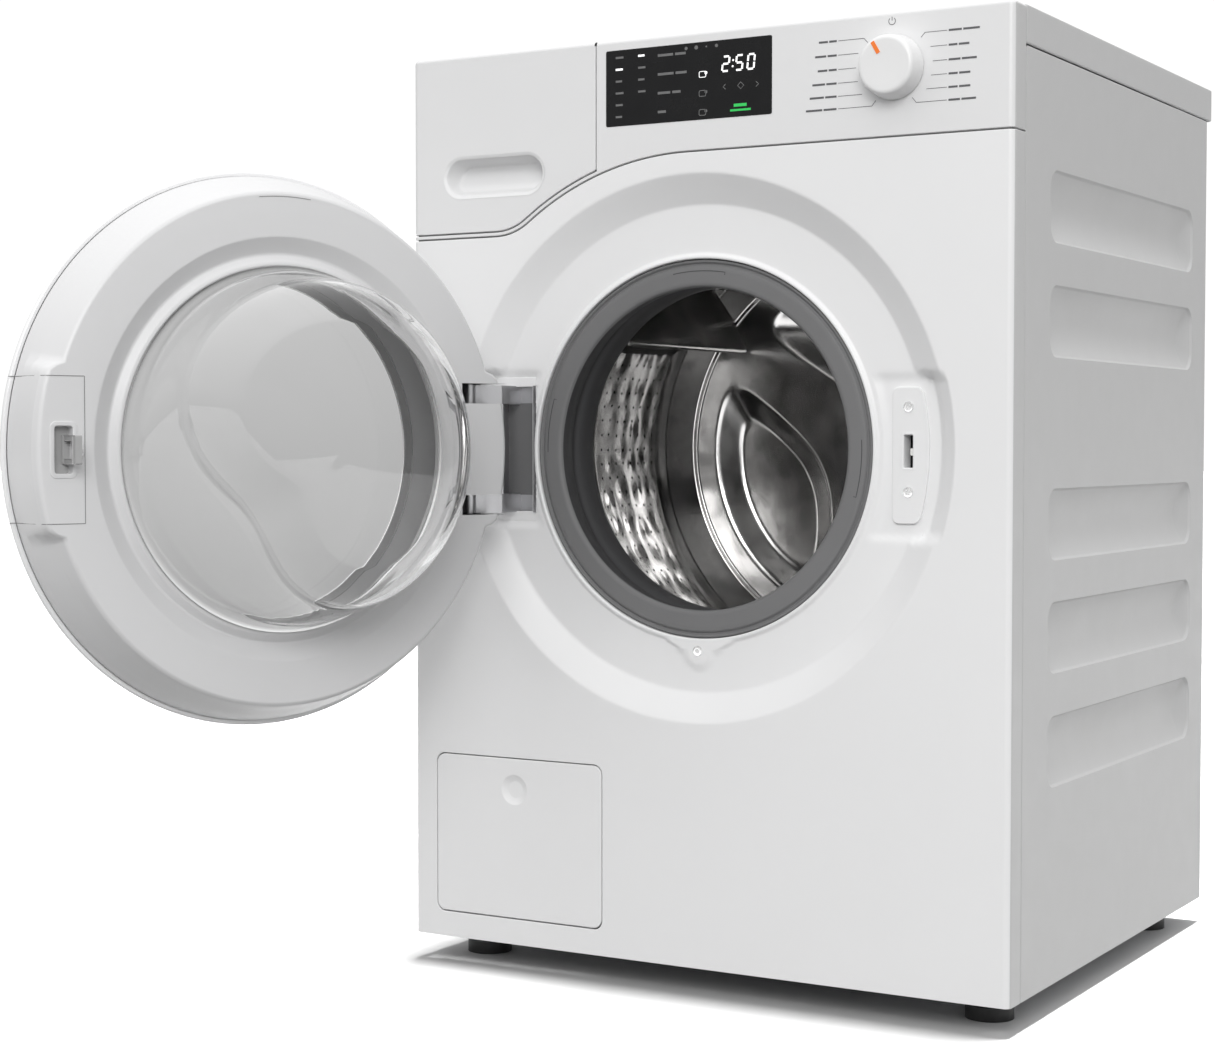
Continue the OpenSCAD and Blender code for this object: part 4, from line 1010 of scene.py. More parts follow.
def display():
    """The dark glass window, with lit digits and dim marks under it."""
    loop = rounded_rect(DISPLAY_LO.x, DISPLAY_LO.z, DISPLAY_HI.x, DISPLAY_HI.z, 0.0015)
    shape = Shape()
    y = DISPLAY_LO.y
    shape.cap(at_depth(loop, y))
    pressed(shape, loop, [(0, 0), (0.0002, 0.0002), (0.0002, 0.003)], y, inward=False)
    shape.piece("display_pane", "display_black", "cabinet", replaces=["display_window"], slot="display_black")
    y -= 0.0001
    x0, z1 = DISPLAY_LO.x, DISPLAY_HI.z
    bright, dim, green = [], [], []
    digits_x, digits_z = x0 + 0.117, z1 - 0.027
    bright += digit("2", digits_x, digits_z, 0.0062, 0.0125, 0.0017)
    for dz in (0.0036, 0.0088):
        bright.append(circle(digits_x + 0.0100 + dz * 0.1, digits_z + dz, 0.0009, 12))
    bright += digit("5", digits_x + 0.0132, digits_z, 0.0062, 0.0125, 0.0017)
    bright += digit("0", digits_x + 0.0245, digits_z, 0.0062, 0.0125, 0.0017)
    for row in range(6):
        z = z1 - 0.0065 - 0.0105 * row
        first = 0.0080 - 0.0007 * (row % 3)
        (bright if row == 1 else dim).append(stroke([(x0 + 0.010, z), (x0 + 0.010 + first, z)], 0.0018))
        if row < 4:
            second = stroke([(x0 + 0.033, z), (x0 + 0.0395 + 0.001 * (row % 2), z)], 0.0018)
            (bright if row == 0 else dim).append(second)
    for row, w in enumerate((0.028, 0.029, 0.023, 0.015)):
        z = z1 - 0.0080 - 0.0165 * row
        dim.append(stroke([(x0 + 0.053, z), (x0 + 0.053 + w * 0.55, z)], 0.0022))
        if row != 3:
            dim.append(stroke([(x0 + 0.055 + w * 0.55, z), (x0 + 0.053 + w, z)], 0.0022))
        mark = rounded_rect(x0 + 0.0945, z - 0.0060, x0 + 0.1010, z - 0.0010, 0.0010, 3) if row else []
        if mark:
            (bright if row == 1 else dim).append(stroke(mark + mark[:1], 0.0006))
            (bright if row == 1 else dim).append(circle(x0 + 0.1012, z - 0.0024, 0.0014, 14))
    for k, w in enumerate((0.0020, 0.0024, 0.0010, 0.0020)):
        dim.append(circle(x0 + 0.0815 + k * 0.0100, z1 - 0.0042, w * 0.75, 14))
    arrows_z = z1 - 0.0405
    for back, tip in ((0.1205, 0.1180), (0.1500, 0.1525)):
        arrow = [(x0 + back, arrows_z + 0.0022), (x0 + tip, arrows_z), (x0 + back, arrows_z - 0.0022)]
        dim.append(stroke(arrow, 0.0007))
    diamond = [(x0 + 0.1352, arrows_z + 0.003), (x0 + 0.1382, arrows_z), (x0 + 0.1352, arrows_z - 0.003),
               (x0 + 0.1322, arrows_z), (x0 + 0.1352, arrows_z + 0.003)]
    dim.append(stroke(diamond, 0.0006))
    z = z1 - 0.0572
    green.append(stroke([(x0 + 0.1285, z), (x0 + 0.1410, z)], 0.0026))
    green.append(stroke([(x0 + 0.1250, z - 0.0042), (x0 + 0.1450, z - 0.0042)], 0.0018))
    for name, loops, material in (("display_digits", bright, "lit_white"),
                                  ("display_marks", dim, "lit_dim"), ("display_start", green, "lit_green")):
        printed(name, loops, material, y)


def dial_print():
    """Leader lines, label bars and the power mark round the dial."""
    cx, cz = DIAL_X, DIAL_Z
    y = -0.0002
    lines, bars = [], []
    w = 0.00045
    places = ((0.0265, 0.0195), (0.0145, 0.0245), (0.0025, 0.0265), (-0.0090, 0.0250), (-0.0200, 0.0210),
              (-0.0305, 0.0120))
    widths_l = (0.0165, 0.0200, 0.0175, 0.0225, 0.0250, 0.0285)
    widths_r = (0.0270, 0.0180, 0.0245, 0.0190, 0.0190, 0.0240)
    for side, widths in ((-1, widths_l), (1, widths_r)):
        for (dz, near), wide in zip(places, widths):
            outer_line = abs(dz) > 0.024
            start = (cx + side * (near + 0.0045), cz + dz * (0.86 if outer_line else 1.0))
            knee = (cx + side * (near + 0.0080), cz + dz)
            end = (cx + side * (0.0510 if side < 0 else 0.0470), cz + dz)
            if outer_line:
                lines.append(stroke([start, knee], w))
            lines.append(stroke([knee, end], w))
            bar_end = (end[0] + side * (0.0015 + wide), end[1])
            gap = wide * 0.42
            bars.append(stroke([(end[0] + side * 0.0015, end[1]), (end[0] + side * (0.0015 + gap), end[1])],
                               0.0017))
            bars.append(stroke([(end[0] + side * (0.0028 + gap), end[1]), bar_end], 0.0017))
    power = (cx - 0.002, cz + 0.0385)
    bars.append(stroke(arc_points(power[0], power[1], 0.0030, 130, 410, 20), 0.00055))
    bars.append(stroke([(power[0], power[1] + 0.0004), (power[0], power[1] + 0.0036)], 0.00055))
    printed("dial_lines", lines, "print_grey", y)
    printed("dial_labels", bars, "print_grey", y)


def dial():
    """The programme dial: a low drum with a dished face, a fine grip ring and an orange pointer."""
    cx, cz = DIAL_X, DIAL_Z
    r = (DIAL_HI.x - DIAL_LO.x) / 2
    profile = [(0.0, -0.0196), (0.014, -0.0198), (0.0205, -0.0200), (0.0218, -0.0199), (0.0231, -0.0194),
               (0.0242, -0.0184), (0.0248, -0.0170), (0.0253, -0.0140), (0.0262, -0.0070),
               (0.0268, -0.0030), (r, -0.0016), (0.0266, -0.0010), (0.0255, -0.0006), (0.0, -0.0006)]
    shape = Shape()
    rows = []
    for i in range(97):
        a = 2 * pi * i / 96
        rows.append([Vector((cx + pr * sin(a), y, cz + pr * cos(a))) for pr, y in profile])
    shape.grid(rows)
    shape.piece("dial_body", "dial_metal", "dial", sharp=50, replaces=["dial_knob"], slot="dial_metal")
    a = radians(-30)
    across, along = Vector((cos(a), -sin(a))), Vector((sin(a), cos(a)))
    loop = []
    for s, t in rounded_rect(-0.0017, 0.0110, 0.0017, 0.0222, 0.0005, 3):
        loop.append((cx + across.x * s + along.x * t, cz + across.y * s + along.y * t))
    printed("dial_pointer", [loop], "print_orange", -0.0203, body="dial", thick=0.0006)


# ---- Service flap ----

def service_flap():
    """The flap, with rolled edges and a round finger dimple."""
    edge = ROLLED
    z0 = FLAP_LO.z + edge
    x0, x1 = FLAP_X0 + edge, FLAP_X1 - edge
    z1 = FLAP_HI.z - edge
    loop = rounded_rect(x0, z0, x1, z1, 0.008, 8)
    cx, cz, r = (x0 + x1) / 2 - 0.004, z1 - 0.028, 0.0145
    ring = circle(cx, cz, r)
    shape = Shape()
    shape.mesh(flat_fill([loop, ring], 0.0))
    pressed(shape, loop, roll(edge, 0.003), inward=False)
    shares = [k / 14 for k in range(15)]
    dished(shape, ring, (cx, cx, cz), shares, lambda share, _: 0.0042 * (1 - (1 - share) ** 2))
    shape.cap(at_depth(rounded_rect(x0 - edge, z0 - edge, x1 + edge, z1 + edge, 0.0088, 8), 0.003))
    # A grey sheet behind the flap's gap, so that the gap reads dark: painted shade.
    behind = Shape()
    behind.cap(at_depth(rounded_rect(x0 - 0.004, z0 - 0.004, x1 + 0.004, z1 + 0.004, 0.01, 8), 0.0085))
    behind.piece("flap_surround", "seam_grey", "cabinet")
    return shape.piece("flap_face", "front_paint", "flap", sharp=50, replaces=["service_flap"],
                       slot="front_paint")


# ---- Gasket ----

def gasket():
    """The grey rubber door seal: a flat face ring, a lip, and an inner sleeve that runs back to the tub."""
    face_y = RECESS_DEPTH - 0.0005
    outer = [(PORT_R - 0.0005, face_y + 0.006), (PORT_R - 0.0006, face_y + 0.001),
             (0.1655, face_y + 0.0002), (0.1635, face_y + 0.0028), (0.1615, face_y + 0.0004),
             (0.158, face_y), (0.147, face_y + 0.0002), (0.1445, face_y + 0.0010), (0.1432, face_y + 0.0035)]
    lathe("gasket_face", outer, "gasket_rubber", None, closed=False, round_by=0.0012, sharp=60)
    inner = [(0.1432, face_y + 0.0035), (0.1440, face_y + 0.014), (0.1465, face_y + 0.024),
             (0.1500, face_y + 0.030), (0.1500, face_y + 0.034), (0.1470, face_y + 0.040), (0.1455, 0.062),
             (0.1470, 0.078), (0.1530, 0.088), (0.1620, 0.0895), (0.1720, 0.0860), (0.1760, 0.0800),
             (0.1795, 0.0740), (0.1820, 0.0660), (0.1790, 0.0550)]
    lathe("gasket_sleeve", inner, "gasket_inner", None, closed=False, round_by=0.0035, sharp=60)
    marks = []
    for centre, half in ((0.0, 9.5), (-82.0, 9.0), (96.0, 9.0)):
        pts = []
        for k in range(13):
            a = radians(centre - half + 2 * half * k / 12)
            pts.append((0.1575 * sin(a), AXIS_Z + 0.1575 * cos(a)))
        tail = (pts[-1][0] * 0.985, AXIS_Z + (pts[-1][1] - AXIS_Z) * 0.985)
        marks.append(stroke(pts + [tail], 0.0008))
    printed("gasket_marks", marks, "gasket_inner", face_y - 0.0001, body=None)
    for n in ("gasket_face", "gasket_sleeve", "gasket_marks"):
        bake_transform(bpy.data.objects[n])
    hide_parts("door_gasket")


# ---- Drum ----

DRUM_MOUTH_R = 0.158
DRUM_BACK_EDGE = 0.036
DRUM_BACK_SET = 0.019
STAR_ARM_HALF = 0.028
POCKET_REACH = 0.178
POCKET_NEAR = 0.045
POCKET_DEEP = 0.017
POCKET_SLOPE = 0.027
LIFTER_H = 0.062


def pocket_depth(x, z):
    """Depth of the pressing in the drum's rear wall: three rounded pockets between the arms of a star."""
    depth, blend = 0.0, 0.012
    for k in range(3):
        a = radians(LIFTER_TURN - 60 + 120 * k)
        u = x * sin(a) + z * cos(a)
        v = (x * cos(a) - z * sin(a)) * cos(radians(60))
        arm = u * sin(radians(60)) - STAR_ARM_HALF
        sides = (arm - v, arm + v, POCKET_REACH - hypot(x, z), u - POCKET_NEAR)
        inside = -blend * log(sum(exp(-side / blend) for side in sides))
        depth = max(depth, POCKET_DEEP * ramp(inside / POCKET_SLOPE, 0.22))
    return depth


def drum():
    """The polished drum: a dented and perforated wall, a rear band, a pressed rear wall and three
    lifters."""
    y0, y1 = DRUM_Y0, DRUM_Y1
    mouth = DRUM_MOUTH_R
    front = [(mouth + 0.0035, y0 + 0.008), (mouth, y0 + 0.006), (mouth, y0 + 0.002), (mouth + 0.003, y0),
             (DRUM_R - 0.010, y0), (DRUM_R + 0.001, y0 + 0.010), (DRUM_R + 0.0012, y1 + 0.002)]
    lathe("drum_outside", front, "drum_steel", "drum", closed=False, round_by=0.004, sharp=60,
          replaces=["drum_shell"], slot="drum_steel")
    inside = [(mouth + 0.0035, y0 + 0.0085), (DRUM_R - 0.012, y0 + 0.0030), (DRUM_R - 0.001, y0 + 0.012),
              (DRUM_R - 0.0005, y0 + 0.14), (DRUM_R - 0.0008, y1 - 0.052)]
    lathe("drum_wall", inside, "drum_dented", "drum", closed=False, round_by=0.004, sharp=60)
    band = [(DRUM_R - 0.0008, y1 - 0.052), (DRUM_R - 0.0034, y1 - 0.048), (DRUM_R - 0.0080, y1 - 0.040),
            (DRUM_R - 0.0290, y1 - 0.0185), (DRUM_R - 0.0310, y1 - 0.0180), (DRUM_R - 0.0325, y1 - 0.0205),
            (DRUM_R - 0.0345, y1 - 0.0205), (DRUM_R - 0.0360, y1 - 0.0190)]
    lathe("drum_band", band, "drum_steel", "drum", closed=False, round_by=0.002, sharp=60)
    rows = []
    steps, rings = 480, 130
    reach = DRUM_R - DRUM_BACK_EDGE
    for i in range(rings + 1):
        r = reach * i / rings + 0.0005
        row = []
        for j in range(steps):
            a = 2 * pi * j / steps
            x, z = r * sin(a), r * cos(a)
            row.append(Vector((x, y1 - DRUM_BACK_SET + pocket_depth(x, z), AXIS_Z + z)))
        rows.append(row)
    shape = Shape()
    shape.grid(rows, closed=True)
    shape.cap(rows[0])
    shape.piece("drum_back", "drum_steel", "drum", sharp=60, replaces=["drum_rear_wall"], slot="drum_steel")
    for k in range(3):
        lifter(k, y0 + 0.014, y1 - 0.003)


def lifter(k, y0, y1):
    """A hollow pressed lifter, wide at its foot and thin at its crest, that swells in the middle."""
    turn = radians(LIFTER_TURN + 120 * k)
    height = LIFTER_H
    section = [(-0.046, 0.001), (-0.038, 0.004), (-0.024, 0.026), (-0.013, 0.046), (-0.008, 0.0555),
               (-0.003, height - 0.0004), (0.003, height - 0.0004), (0.008, 0.0555), (0.013, 0.046),
               (0.024, 0.026), (0.038, 0.004), (0.046, 0.001)]
    section = soft([Vector(p) for p in section], 0.004, 3, closed=False)
    rows = []
    count = 30
    for i in range(count + 1):
        t = i / count
        y = y0 + (y1 - y0) * t
        end = min(1.0, min(t, 1 - t) / 0.05)
        swell = 0.30 + 0.70 * sin(pi / 2 * end) if end < 1 else 1.0
        row = []
        for across, up in section:
            h = max(0.001, up * swell)
            r = DRUM_R - h
            a = turn + across / DRUM_R * (0.86 + 0.14 * cos((t - 0.5) * 2.2))
            row.append(around(r, y, a))
        rows.append(row)
    shape = Shape()
    shape.grid(rows)
    made = shape.piece(f"lifter_{k + 1}", "drum_steel", "drum", sharp=60)
    if k == 0:
        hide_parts("drum_lifters")


# ---- Door ----

BLOCK_HALF = 0.0755
FRAME_FLAT_R = 0.206


def door_side(angle):
    """How much the raised block of the latch and of the hinge covers a clock angle, from 0 to 1."""
    z = DOOR_R * cos(angle)
    return eased((BLOCK_HALF - abs(z)) / 0.007)


def frame_wave(r, y, angle):
    """Spreads the flat of the inner frame out to the raised blocks."""
    block = door_side(angle)
    if r > FRAME_FLAT_R and y > 0:
        r += 0.0098 * block * min(1.0, (r - FRAME_FLAT_R) / 0.006)
    elif r > FRAME_FLAT_R:
        r += 0.8 * block * max(0.0, 0.2320 - r)
    return r, y


def door():
    y_rim = -DOOR_STAND
    face = [(0.150, y_rim - 0.0036), (0.180, y_rim - 0.0027), (0.210, y_rim - 0.0013),
            (0.2325, y_rim - 0.0001), (0.2355, y_rim + 0.0008), (DOOR_R, y_rim + 0.0030),
            (DOOR_R, y_rim + 0.0052), (DOOR_R - 0.0012, y_rim + 0.0064), (DOOR_R - 0.004, y_rim + 0.0064),
            (DOOR_R - 0.006, y_rim + 0.003), (0.150, y_rim - 0.0011)]
    cover = lathe("door_cover_face", face, "front_paint_door", None, steps=288, round_by=0.0006)
    on_door(cover, "door_outer_cover")
    pane = [(0.0, y_rim - 0.0059), (0.060, y_rim - 0.0056), (0.110, y_rim - 0.0047),
            (0.1495, y_rim - 0.0036), (0.1495, y_rim - 0.0011), (0.158, y_rim - 0.0006),
            (0.158, y_rim + 0.0012), (0.0, y_rim - 0.0009)]
    window = lathe("door_pane", pane, "door_window_glass", None, round_by=0.0003, steps=192)
    on_door(window, "door_window")

    edge = DOOR_R - 0.0042
    outline = [(edge, y_rim + 0.0066), (edge, y_rim + 0.0092), (0.2305, -0.0230), (0.2262, -0.0120),
               (0.2215, -0.0015), (0.2190, 0.0052), (0.2172, 0.0096), (0.2145, 0.0114), (0.2000, 0.0118),
               (0.1790, 0.0120), (0.1655, 0.0058), (0.1635, 0.0056), (0.1580, 0.0100), (0.1552, 0.0106),
               (0.1535, 0.0095), (0.1528, 0.0060), (0.1528, 0.0050), (0.1600, 0.0030), (0.1700, 0.0040),
               (0.1760, 0.0092), (0.2060, 0.0095), (0.2150, 0.0030), (0.2230, -0.0120), (0.2290, -0.0320)]
    shape = Shape()
    outline = soft(outline, 0.0012, 3)
    shape.grid(turned(outline + [outline[0]], 288, frame_wave))
    ring = shape.piece("door_frame", "frame_plastic", None, sharp=50)
    pitch, half = HINGE_PITCH, HINGE_HALF
    cuts = [((-DOOR_R - 0.01, y_rim - 0.01, AXIS_Z + s * pitch - half),
             (-0.178, 0.03, AXIS_Z + s * pitch + half)) for s in (-1, 1)]
    cuts.append(((HOOK_X - 0.003, -0.002, AXIS_Z - 0.019), (HOOK_X + 0.013, 0.03, AXIS_Z + 0.019)))
    cut_out(ring, *cuts)
    ring.data.materials.clear()
    ring.data.materials.append(MAT["frame_plastic"])
    on_door(ring, "door_inner_frame")

    # The walls of the hinge slots in the door frame are painted dark grey: painted shade inside the slots.
    pockets = Shape()
    for s in (-1, 1):
        z = AXIS_Z + s * pitch
        x0, x1, z0, z1 = -0.229, -0.178, z - half - 0.0002, z + half + 0.0002
        ends = (y_rim + 0.008, 0.0105)
        for wall in (((x0, z0), (x1, z0)), ((x0, z1), (x1, z1)), ((x1, z0), (x1, z1))):
            pockets.grid([at_depth(wall, y) for y in ends])
        pockets.grid([at_depth(((x, z0), (x, z1)), ends[0]) for x in (x0, x1)])
    on_door(pockets.piece("hinge_pockets", "hinge_dark", None))

    bowl()
    latch_parts()
    door_seams(outline)


BOWL_R = 0.1500
BOWL_DEPTH = 0.1035
BOWL_WALL = 0.0035
BOWL_FOOT_Y = 0.0200
NOSE_R = 0.122


def bowl():
    """The pressed glass bowl, with a nose that is drawn in at the lower free side."""
    steps, depth, wall = 288, BOWL_DEPTH, BOWL_WALL

    def nose(angle):
        side = degrees(angle) % 360
        pull = exp(-((side - 128) / 42) ** 2)
        lift = exp(-((side - 60) / 32) ** 2)
        return NOSE_R - 0.052 * pull + 0.004 * lift

    def bend(angle, t):
        """One meridian of the bowl, from the rim to the middle of the nose. t moves it inwards."""
        rn = nose(angle) - t
        r0 = BOWL_R - t
        points = [(r0 + 0.0045, 0.0120), (r0 + 0.0030, 0.0160), (r0, BOWL_FOOT_Y)]
        corner = 0.034
        base_y, top_y = BOWL_FOOT_Y, depth - t
        slope_r = rn + corner * 0.55
        for k in range(1, 9):
            s = k / 9
            points.append((r0 + (slope_r - r0) * eased(s) * 0.9 + (slope_r - r0) * 0.1 * s,
                           base_y + (top_y - corner - base_y) * s))
        last = points[-1]
        for k in range(1, 11):
            a = pi / 2 * k / 10
            points.append((last[0] - (last[0] - (rn - corner * 0.45)) * (1 - cos(a)),
                           last[1] + (top_y - last[1]) * sin(a)))
        end = points[-1][0]
        for k in range(1, 9):
            points.append((end * (1 - k / 8) + 1e-5, top_y + 0.0004 * k / 8))
        return points

    shape = Shape()
    rows = []
    for i in range(steps + 1):
        a = 2 * pi * i / steps
        outer, inner = bend(a, 0.0), bend(a, wall)
        ring = outer + inner[::-1] + [outer[0]]
        rows.append([around(r, y, a) for r, y in ring])
    shape.grid(rows)
    on_door(shape.piece("glass_bowl", "bowl_glass", None, sharp=70), "door_glass")


def latch_parts():
    """The rim and floor of the socket round the hook, and the small boss beside it."""
    y = LATCH_Y
    plate = Shape()
    slot = rounded_rect(HOOK_X - 0.0035, AXIS_Z - 0.0195, HOOK_X + 0.0135, AXIS_Z + 0.0195, 0.003)
    loop = rounded_rect(HOOK_X - 0.0058, AXIS_Z - 0.0218, HOOK_X + 0.0158, AXIS_Z + 0.0218, 0.0045)
    plate.mesh(flat_fill([loop, slot], y))
    pressed(plate, loop, [(0, 0), (0.0006, -0.0001), (0.0009, -0.0004), (0.0010, -0.0012)], y, inward=False)
    pressed(plate, slot, [(0, 0), (0.0006, -0.0004), (0.0008, -0.0084)], y)
    on_door(plate.piece("latch_cover", "frame_plastic", None, sharp=50), "latch_plate")

    well = Shape()
    well.cap(at_depth(slot, 0.0040))
    on_door(well.piece("latch_well", "hook_plastic", None))

    boss = Shape()
    centre = (0.1925, AXIS_Z - 0.002)
    ring = circle(centre[0], centre[1], 0.0048, 32)
    rows = pressed(boss, ring, [(0, -0.001), (0.0002, 0.0012), (0.0012, 0.0017), (0.0020, 0.0013),
                                (0.0022, 0.0002)], y)
    boss.cap(rows[-1])
    on_door(boss.piece("latch_boss", "frame_plastic", None, sharp=50))


def door_seams(outline):
    """Fine seam lines on the door's inner frame: round the latch plate, and a short mark at the top."""
    front = [p for p in outline if p[1] > -0.036 and p[0] > 0.1795]
    front = front[:front.index(max(front, key=lambda p: p[1])) + 1]

    def height(x, z):
        angle = atan2(x, z)
        moved = [frame_wave(r, y, angle) for r, y in front]
        here = hypot(x, z)
        for a, b in zip(moved, moved[1:]):
            if b[0] <= here <= a[0]:
                return b[1] + (a[1] - b[1]) * (here - b[0]) / max(1e-6, a[0] - b[0])
        return moved[-1][1] if here < moved[-1][0] else moved[0][1]

    paths = []
    for s in (-1, 1):
        paths.append([(0.187 + 0.0445 * k / 30, s * 0.0585, 0, 0.0003) for k in range(31)])
    paths.append([(0.187, -0.0585 + 0.117 * k / 20, 0.0003, 0) for k in range(21)])
    paths.append([(0.2125 * sin(a), 0.2125 * cos(a), 0.00025 * sin(a), 0.00025 * cos(a))
                  for a in (radians(-6 + 13.5 * k / 20) for k in range(21))])
    shape = Shape()
    for path in paths:
        rows = []
        for x, z, wx, wz in path:
            y = height(x, z) + 0.00025
            rows.append([Vector((x - wx, y, AXIS_Z + z - wz)), Vector((x + wx, y, AXIS_Z + z + wz))])
        shape.grid(rows)
    on_door(shape.piece("door_seams", "seam_grey", None, weld=1e-7))


HOOK_BARS = ((-0.0115, -0.0070, -0.0022, 0.0022, -0.003, 0.0255), (0.0070, 0.0115, -0.0022, 0.0022, -0.003,
                                                                   0.0255),
             (-0.0115, 0.0115, -0.0022, 0.0036, 0.0235, 0.0295), (-0.0115, 0.0115, -0.0035, 0.0035, -0.0072,
                                                                  0.006))


def latch_hook():
    """The hook: two side cheeks, a cross bar and a foot."""
    shape = Shape()
    for z0, z1, x0, x1, y0, y1 in HOOK_BARS:
        loop = rounded_rect(z0, y0, z1, y1, 0.0012, 3)
        xs = [HOOK_X + x0 + 0.0006, HOOK_X + x0, HOOK_X + x0, HOOK_X + x1, HOOK_X + x1, HOOK_X + x1 - 0.0006]
        shrink = [0.0006, 0.0002, 0, 0, 0.0002, 0.0006]
        normals = outward(loop)
        rows = []
        for x, s in zip(xs, shrink):
            rows.append([Vector((x, q[1] - n.y * s, AXIS_Z + q[0] - n.x * s)) for q, n in zip(loop, normals)])
        shape.grid(rows, closed=True)
        shape.cap(rows[0])
        shape.cap(rows[-1])
    hook = shape.piece("hook", "hook_plastic", None, sharp=40)
    on_door(hook, "latch_hook", body="latch")


# ---- Everything else keeps its CAD shape ----

SLOT_OF = {s["node"]: s["material_slot"] for s in frame["record"]["subparts"]}
SOFT_EDGES = {"lid": 0.0018, "hinge_bracket": 0.0006, "foot_front_left": 0.0015, "foot_front_right": 0.0015,
              "foot_rear_left": 0.0015, "foot_rear_right": 0.0015, "drawer_tray": 0.0006,
              "lock_module": 0.0008}


def carried_over():
    for node in frame["nodes"]:
        keep(node, SLOT_OF[node], SOFT_EDGES.get(node, 0.0))


def stretched(node):
    """A copy of a spring's or hose's CAD mesh, left where it stands and riding on no body."""
    made = piece(node + "_skin", *cad_mesh(node), SLOT_OF[node], None, sharp=35, replaces=[node],
                 slot=SLOT_OF[node])
    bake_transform(made)


def suspension_links():
    stretched("suspension_springs")
    stretched("sump_hose")


# ---- Stage, light and camera ----

FLOOR_TONE = 0.42
FRONT_LIGHT_PLACE, FRONT_LIGHT_TARGET = (1.25, -2.6, 1.9), (0.0, 0.0, 0.5)
DRUM_LIGHT_PLACE, DRUM_LIGHT_TARGET = (0.35, -2.2, 0.95), (0.0, 0.3, AXIS_Z)
SUN_POWER, SUN_SPREAD, SUN_TILT = 11.0, 6, (-2.7, 1.4)


def stage():
    """A white studio: a pale floor, a sky brighter overhead, a soft light on the front, a weak one into the
    drum, and a sun that only lights the floor."""
    bpy.ops.mesh.primitive_plane_add(size=60, location=(0, 10, 0))
    floor = bpy.context.object
    floor.name = "studio_floor"
    moulded("studio_floor", (FLOOR_TONE,) * 3, 0.95, drift=0.004, gloss=0.0)
    floor.data.materials.append(MAT["studio_floor"])
    floor.visible_diffuse = False
    floor.visible_transmission = False
    floor.visible_shadow = False
    studio_sky()
    softbox("front_light", FRONT_LIGHT_PLACE, FRONT_LIGHT_TARGET, 1.5, 41, ["glass_bowl", "door_pane"],
            "EXCLUDE")
    inside = ["drum_wall", "drum_band", "drum_back", "lifter_1", "lifter_2", "lifter_3"]
    softbox("drum_light", DRUM_LIGHT_PLACE, DRUM_LIGHT_TARGET, 0.8, 8, inside, "INCLUDE")
    lamp = bpy.data.lights.new("floor_light", "SUN")
    lamp.energy = SUN_POWER
    lamp.angle = radians(SUN_SPREAD)
    obj = bpy.data.objects.new("floor_light", lamp)
    obj.rotation_euler = (*(radians(t) for t in SUN_TILT), 0)
    bpy.context.scene.collection.objects.link(obj)
    lit, shading = bpy.data.collections.new("floor_only"), bpy.data.collections.new("cabinet_shade")
    lit.objects.link(floor)
    for name in ("front_panel_skin", "side_panel_left_skin", "side_panel_right_skin", "fascia_skin"):
        shading.objects.link(bpy.data.objects[name])
    for node in ("lid", "base_pan", "rear_panel"):
        shading.objects.link(frame["nodes"][node])
    obj.light_linking.receiver_collection = lit
    obj.light_linking.blocker_collection = shading


def studio_sky():
    """Soft light from all round, strongest overhead, behind a white background."""
    world = bpy.data.worlds.new("studio")
    world.use_nodes = True
    tree = world.node_tree
    back = tree.nodes["Background"]
    where = add(tree, "TexCoord").outputs["Generated"]
    up = add(tree, "SeparateXYZ", {"Vector": where}).outputs["Z"]
    height = add(tree, "MapRange", {"From Min": -1, "From Max": 1, "Value": up}).outputs["Result"]
    tones = add(tree, "ValToRGB", {"Fac": height})
    marks = tones.color_ramp.elements
    marks[0].position, marks[0].color = 0.0, (0.08, 0.08, 0.08, 1)
    marks[1].position, marks[1].color = 1.0, (1.35, 1.35, 1.35, 1)
    for place, tone in ((0.36, 0.16), (0.5, 0.52), (0.64, 0.92)):
        marks.new(place).color = (tone, tone, tone, 1)
    seen = add(tree, "LightPath").outputs["Is Camera Ray"]
    tone = blended(tree, seen, tones.outputs["Color"], (1.05, 1.05, 1.05, 1))
    tree.links.new(tone, back.inputs["Color"])
    bpy.context.scene.world = world


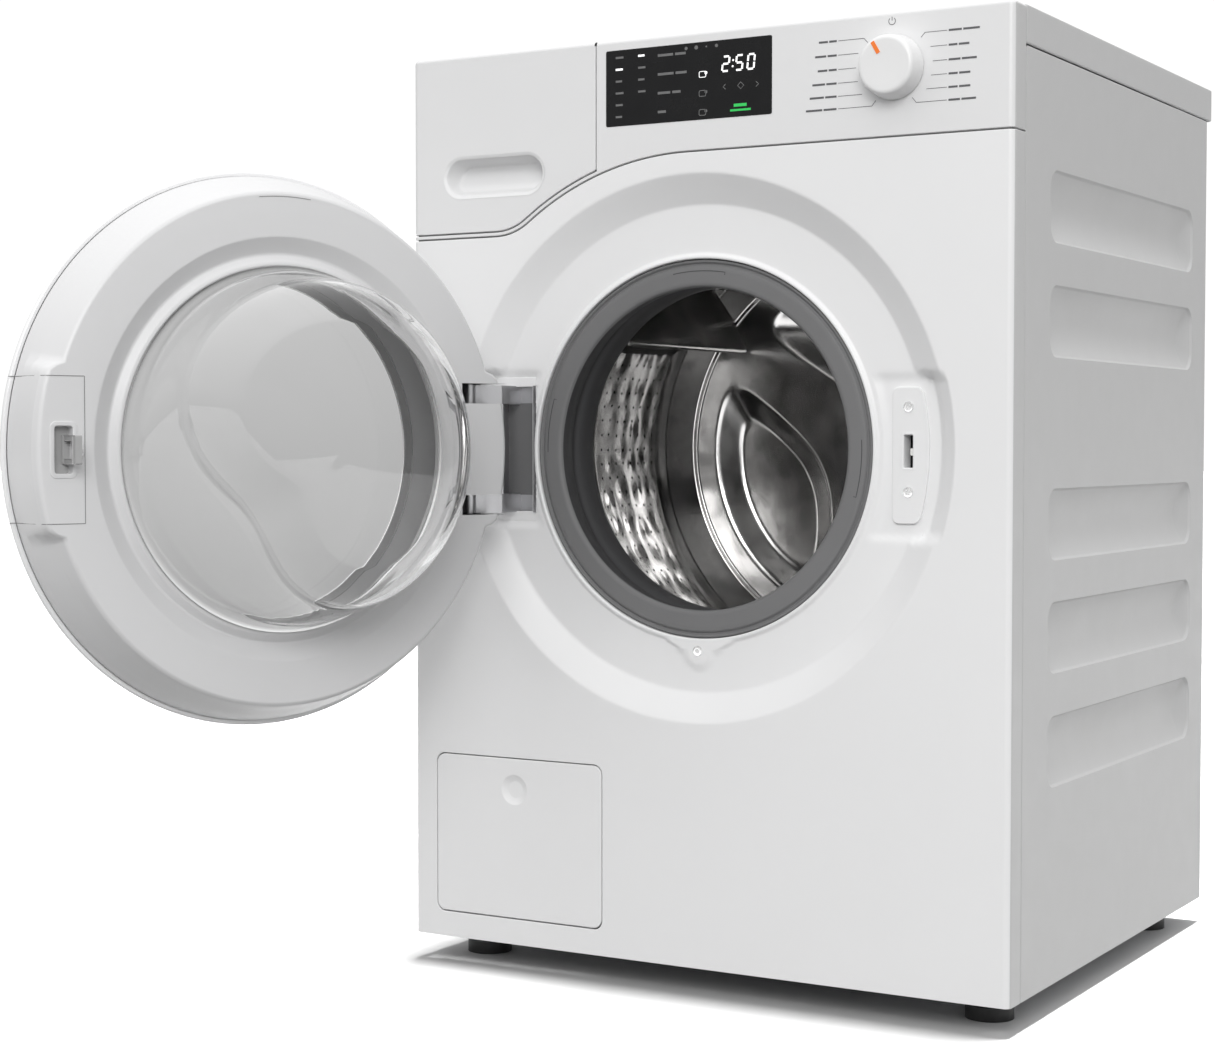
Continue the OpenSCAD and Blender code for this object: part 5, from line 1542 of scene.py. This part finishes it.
def softbox(name, place, target, size, power, pieces, state):
    """A square soft light that lights only the named pieces, or all but them."""
    lamp = bpy.data.lights.new(name, "AREA")
    lamp.size = size
    lamp.energy = power
    obj = bpy.data.objects.new(name, lamp)
    obj.location = place
    obj.rotation_euler = (Vector(target) - Vector(place)).to_track_quat("-Z", "Y").to_euler()
    bpy.context.scene.collection.objects.link(obj)
    linked = bpy.data.collections.new(name + "_pieces")
    for number, part in enumerate(pieces):
        linked.objects.link(bpy.data.objects[part])
        linked.collection_objects[number].light_linking.link_state = state
    obj.light_linking.receiver_collection = linked


CAMERA_PLACE = (0.9632, -1.7722, 0.4896)
CAMERA_TILT, CAMERA_TURN = 2.1, 30.61
LENS, SENSOR = 67.8, 36


def camera():
    """The camera stands to the right of the machine at mid height and looks in at about 30 degrees."""
    data = bpy.data.cameras.new("camera")
    data.lens = LENS
    data.sensor_width = SENSOR
    data.clip_end = 100
    obj = bpy.data.objects.new("camera", data)
    obj.location = CAMERA_PLACE
    obj.rotation_euler = (radians(90 - CAMERA_TILT), 0, radians(CAMERA_TURN))
    bpy.context.scene.collection.objects.link(obj)
    bpy.context.scene.camera = obj


LOCK_SCREW_Z = 0.036
REAR_SCREW_R = 0.183


def screws():
    """Three screws in the front and six round the rear cover."""
    for number, (x, z) in enumerate(((HOOK_X, LOCK_SCREW_Z), (HOOK_X, -LOCK_SCREW_Z),
                                     (0.0, -PORT_R - 0.011))):
        screw_head(f"front_screw_{number + 1}", x, AXIS_Z + z,
                   RECESS_DEPTH - (0.0002 if number < 2 else 0.0018))
    for number in range(6):
        a = radians(60 * number + 30)
        screw_head(f"rear_screw_{number + 1}", REAR_SCREW_R * cos(a), AXIS_Z + REAR_SCREW_R * sin(a),
                   REAR_SCREW_Y - 0.0015, 0.004, facing=-1)
    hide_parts("screws")


carried_over()
front_panel()
hinge_well()
hinge_plate()
lock_plate()
lock_housing()
lock_nib()
screws()
seam_backing()
control_fascia()
drawer_front()
side_panel(1, "side_panel_right")
side_panel(-1, "side_panel_left")
display()
dial_print()
dial()
service_flap()
gasket()
drum()
door()
latch_hook()
suspension_links()
stage()
camera()
bpy.context.scene.view_settings.view_transform = "Standard"
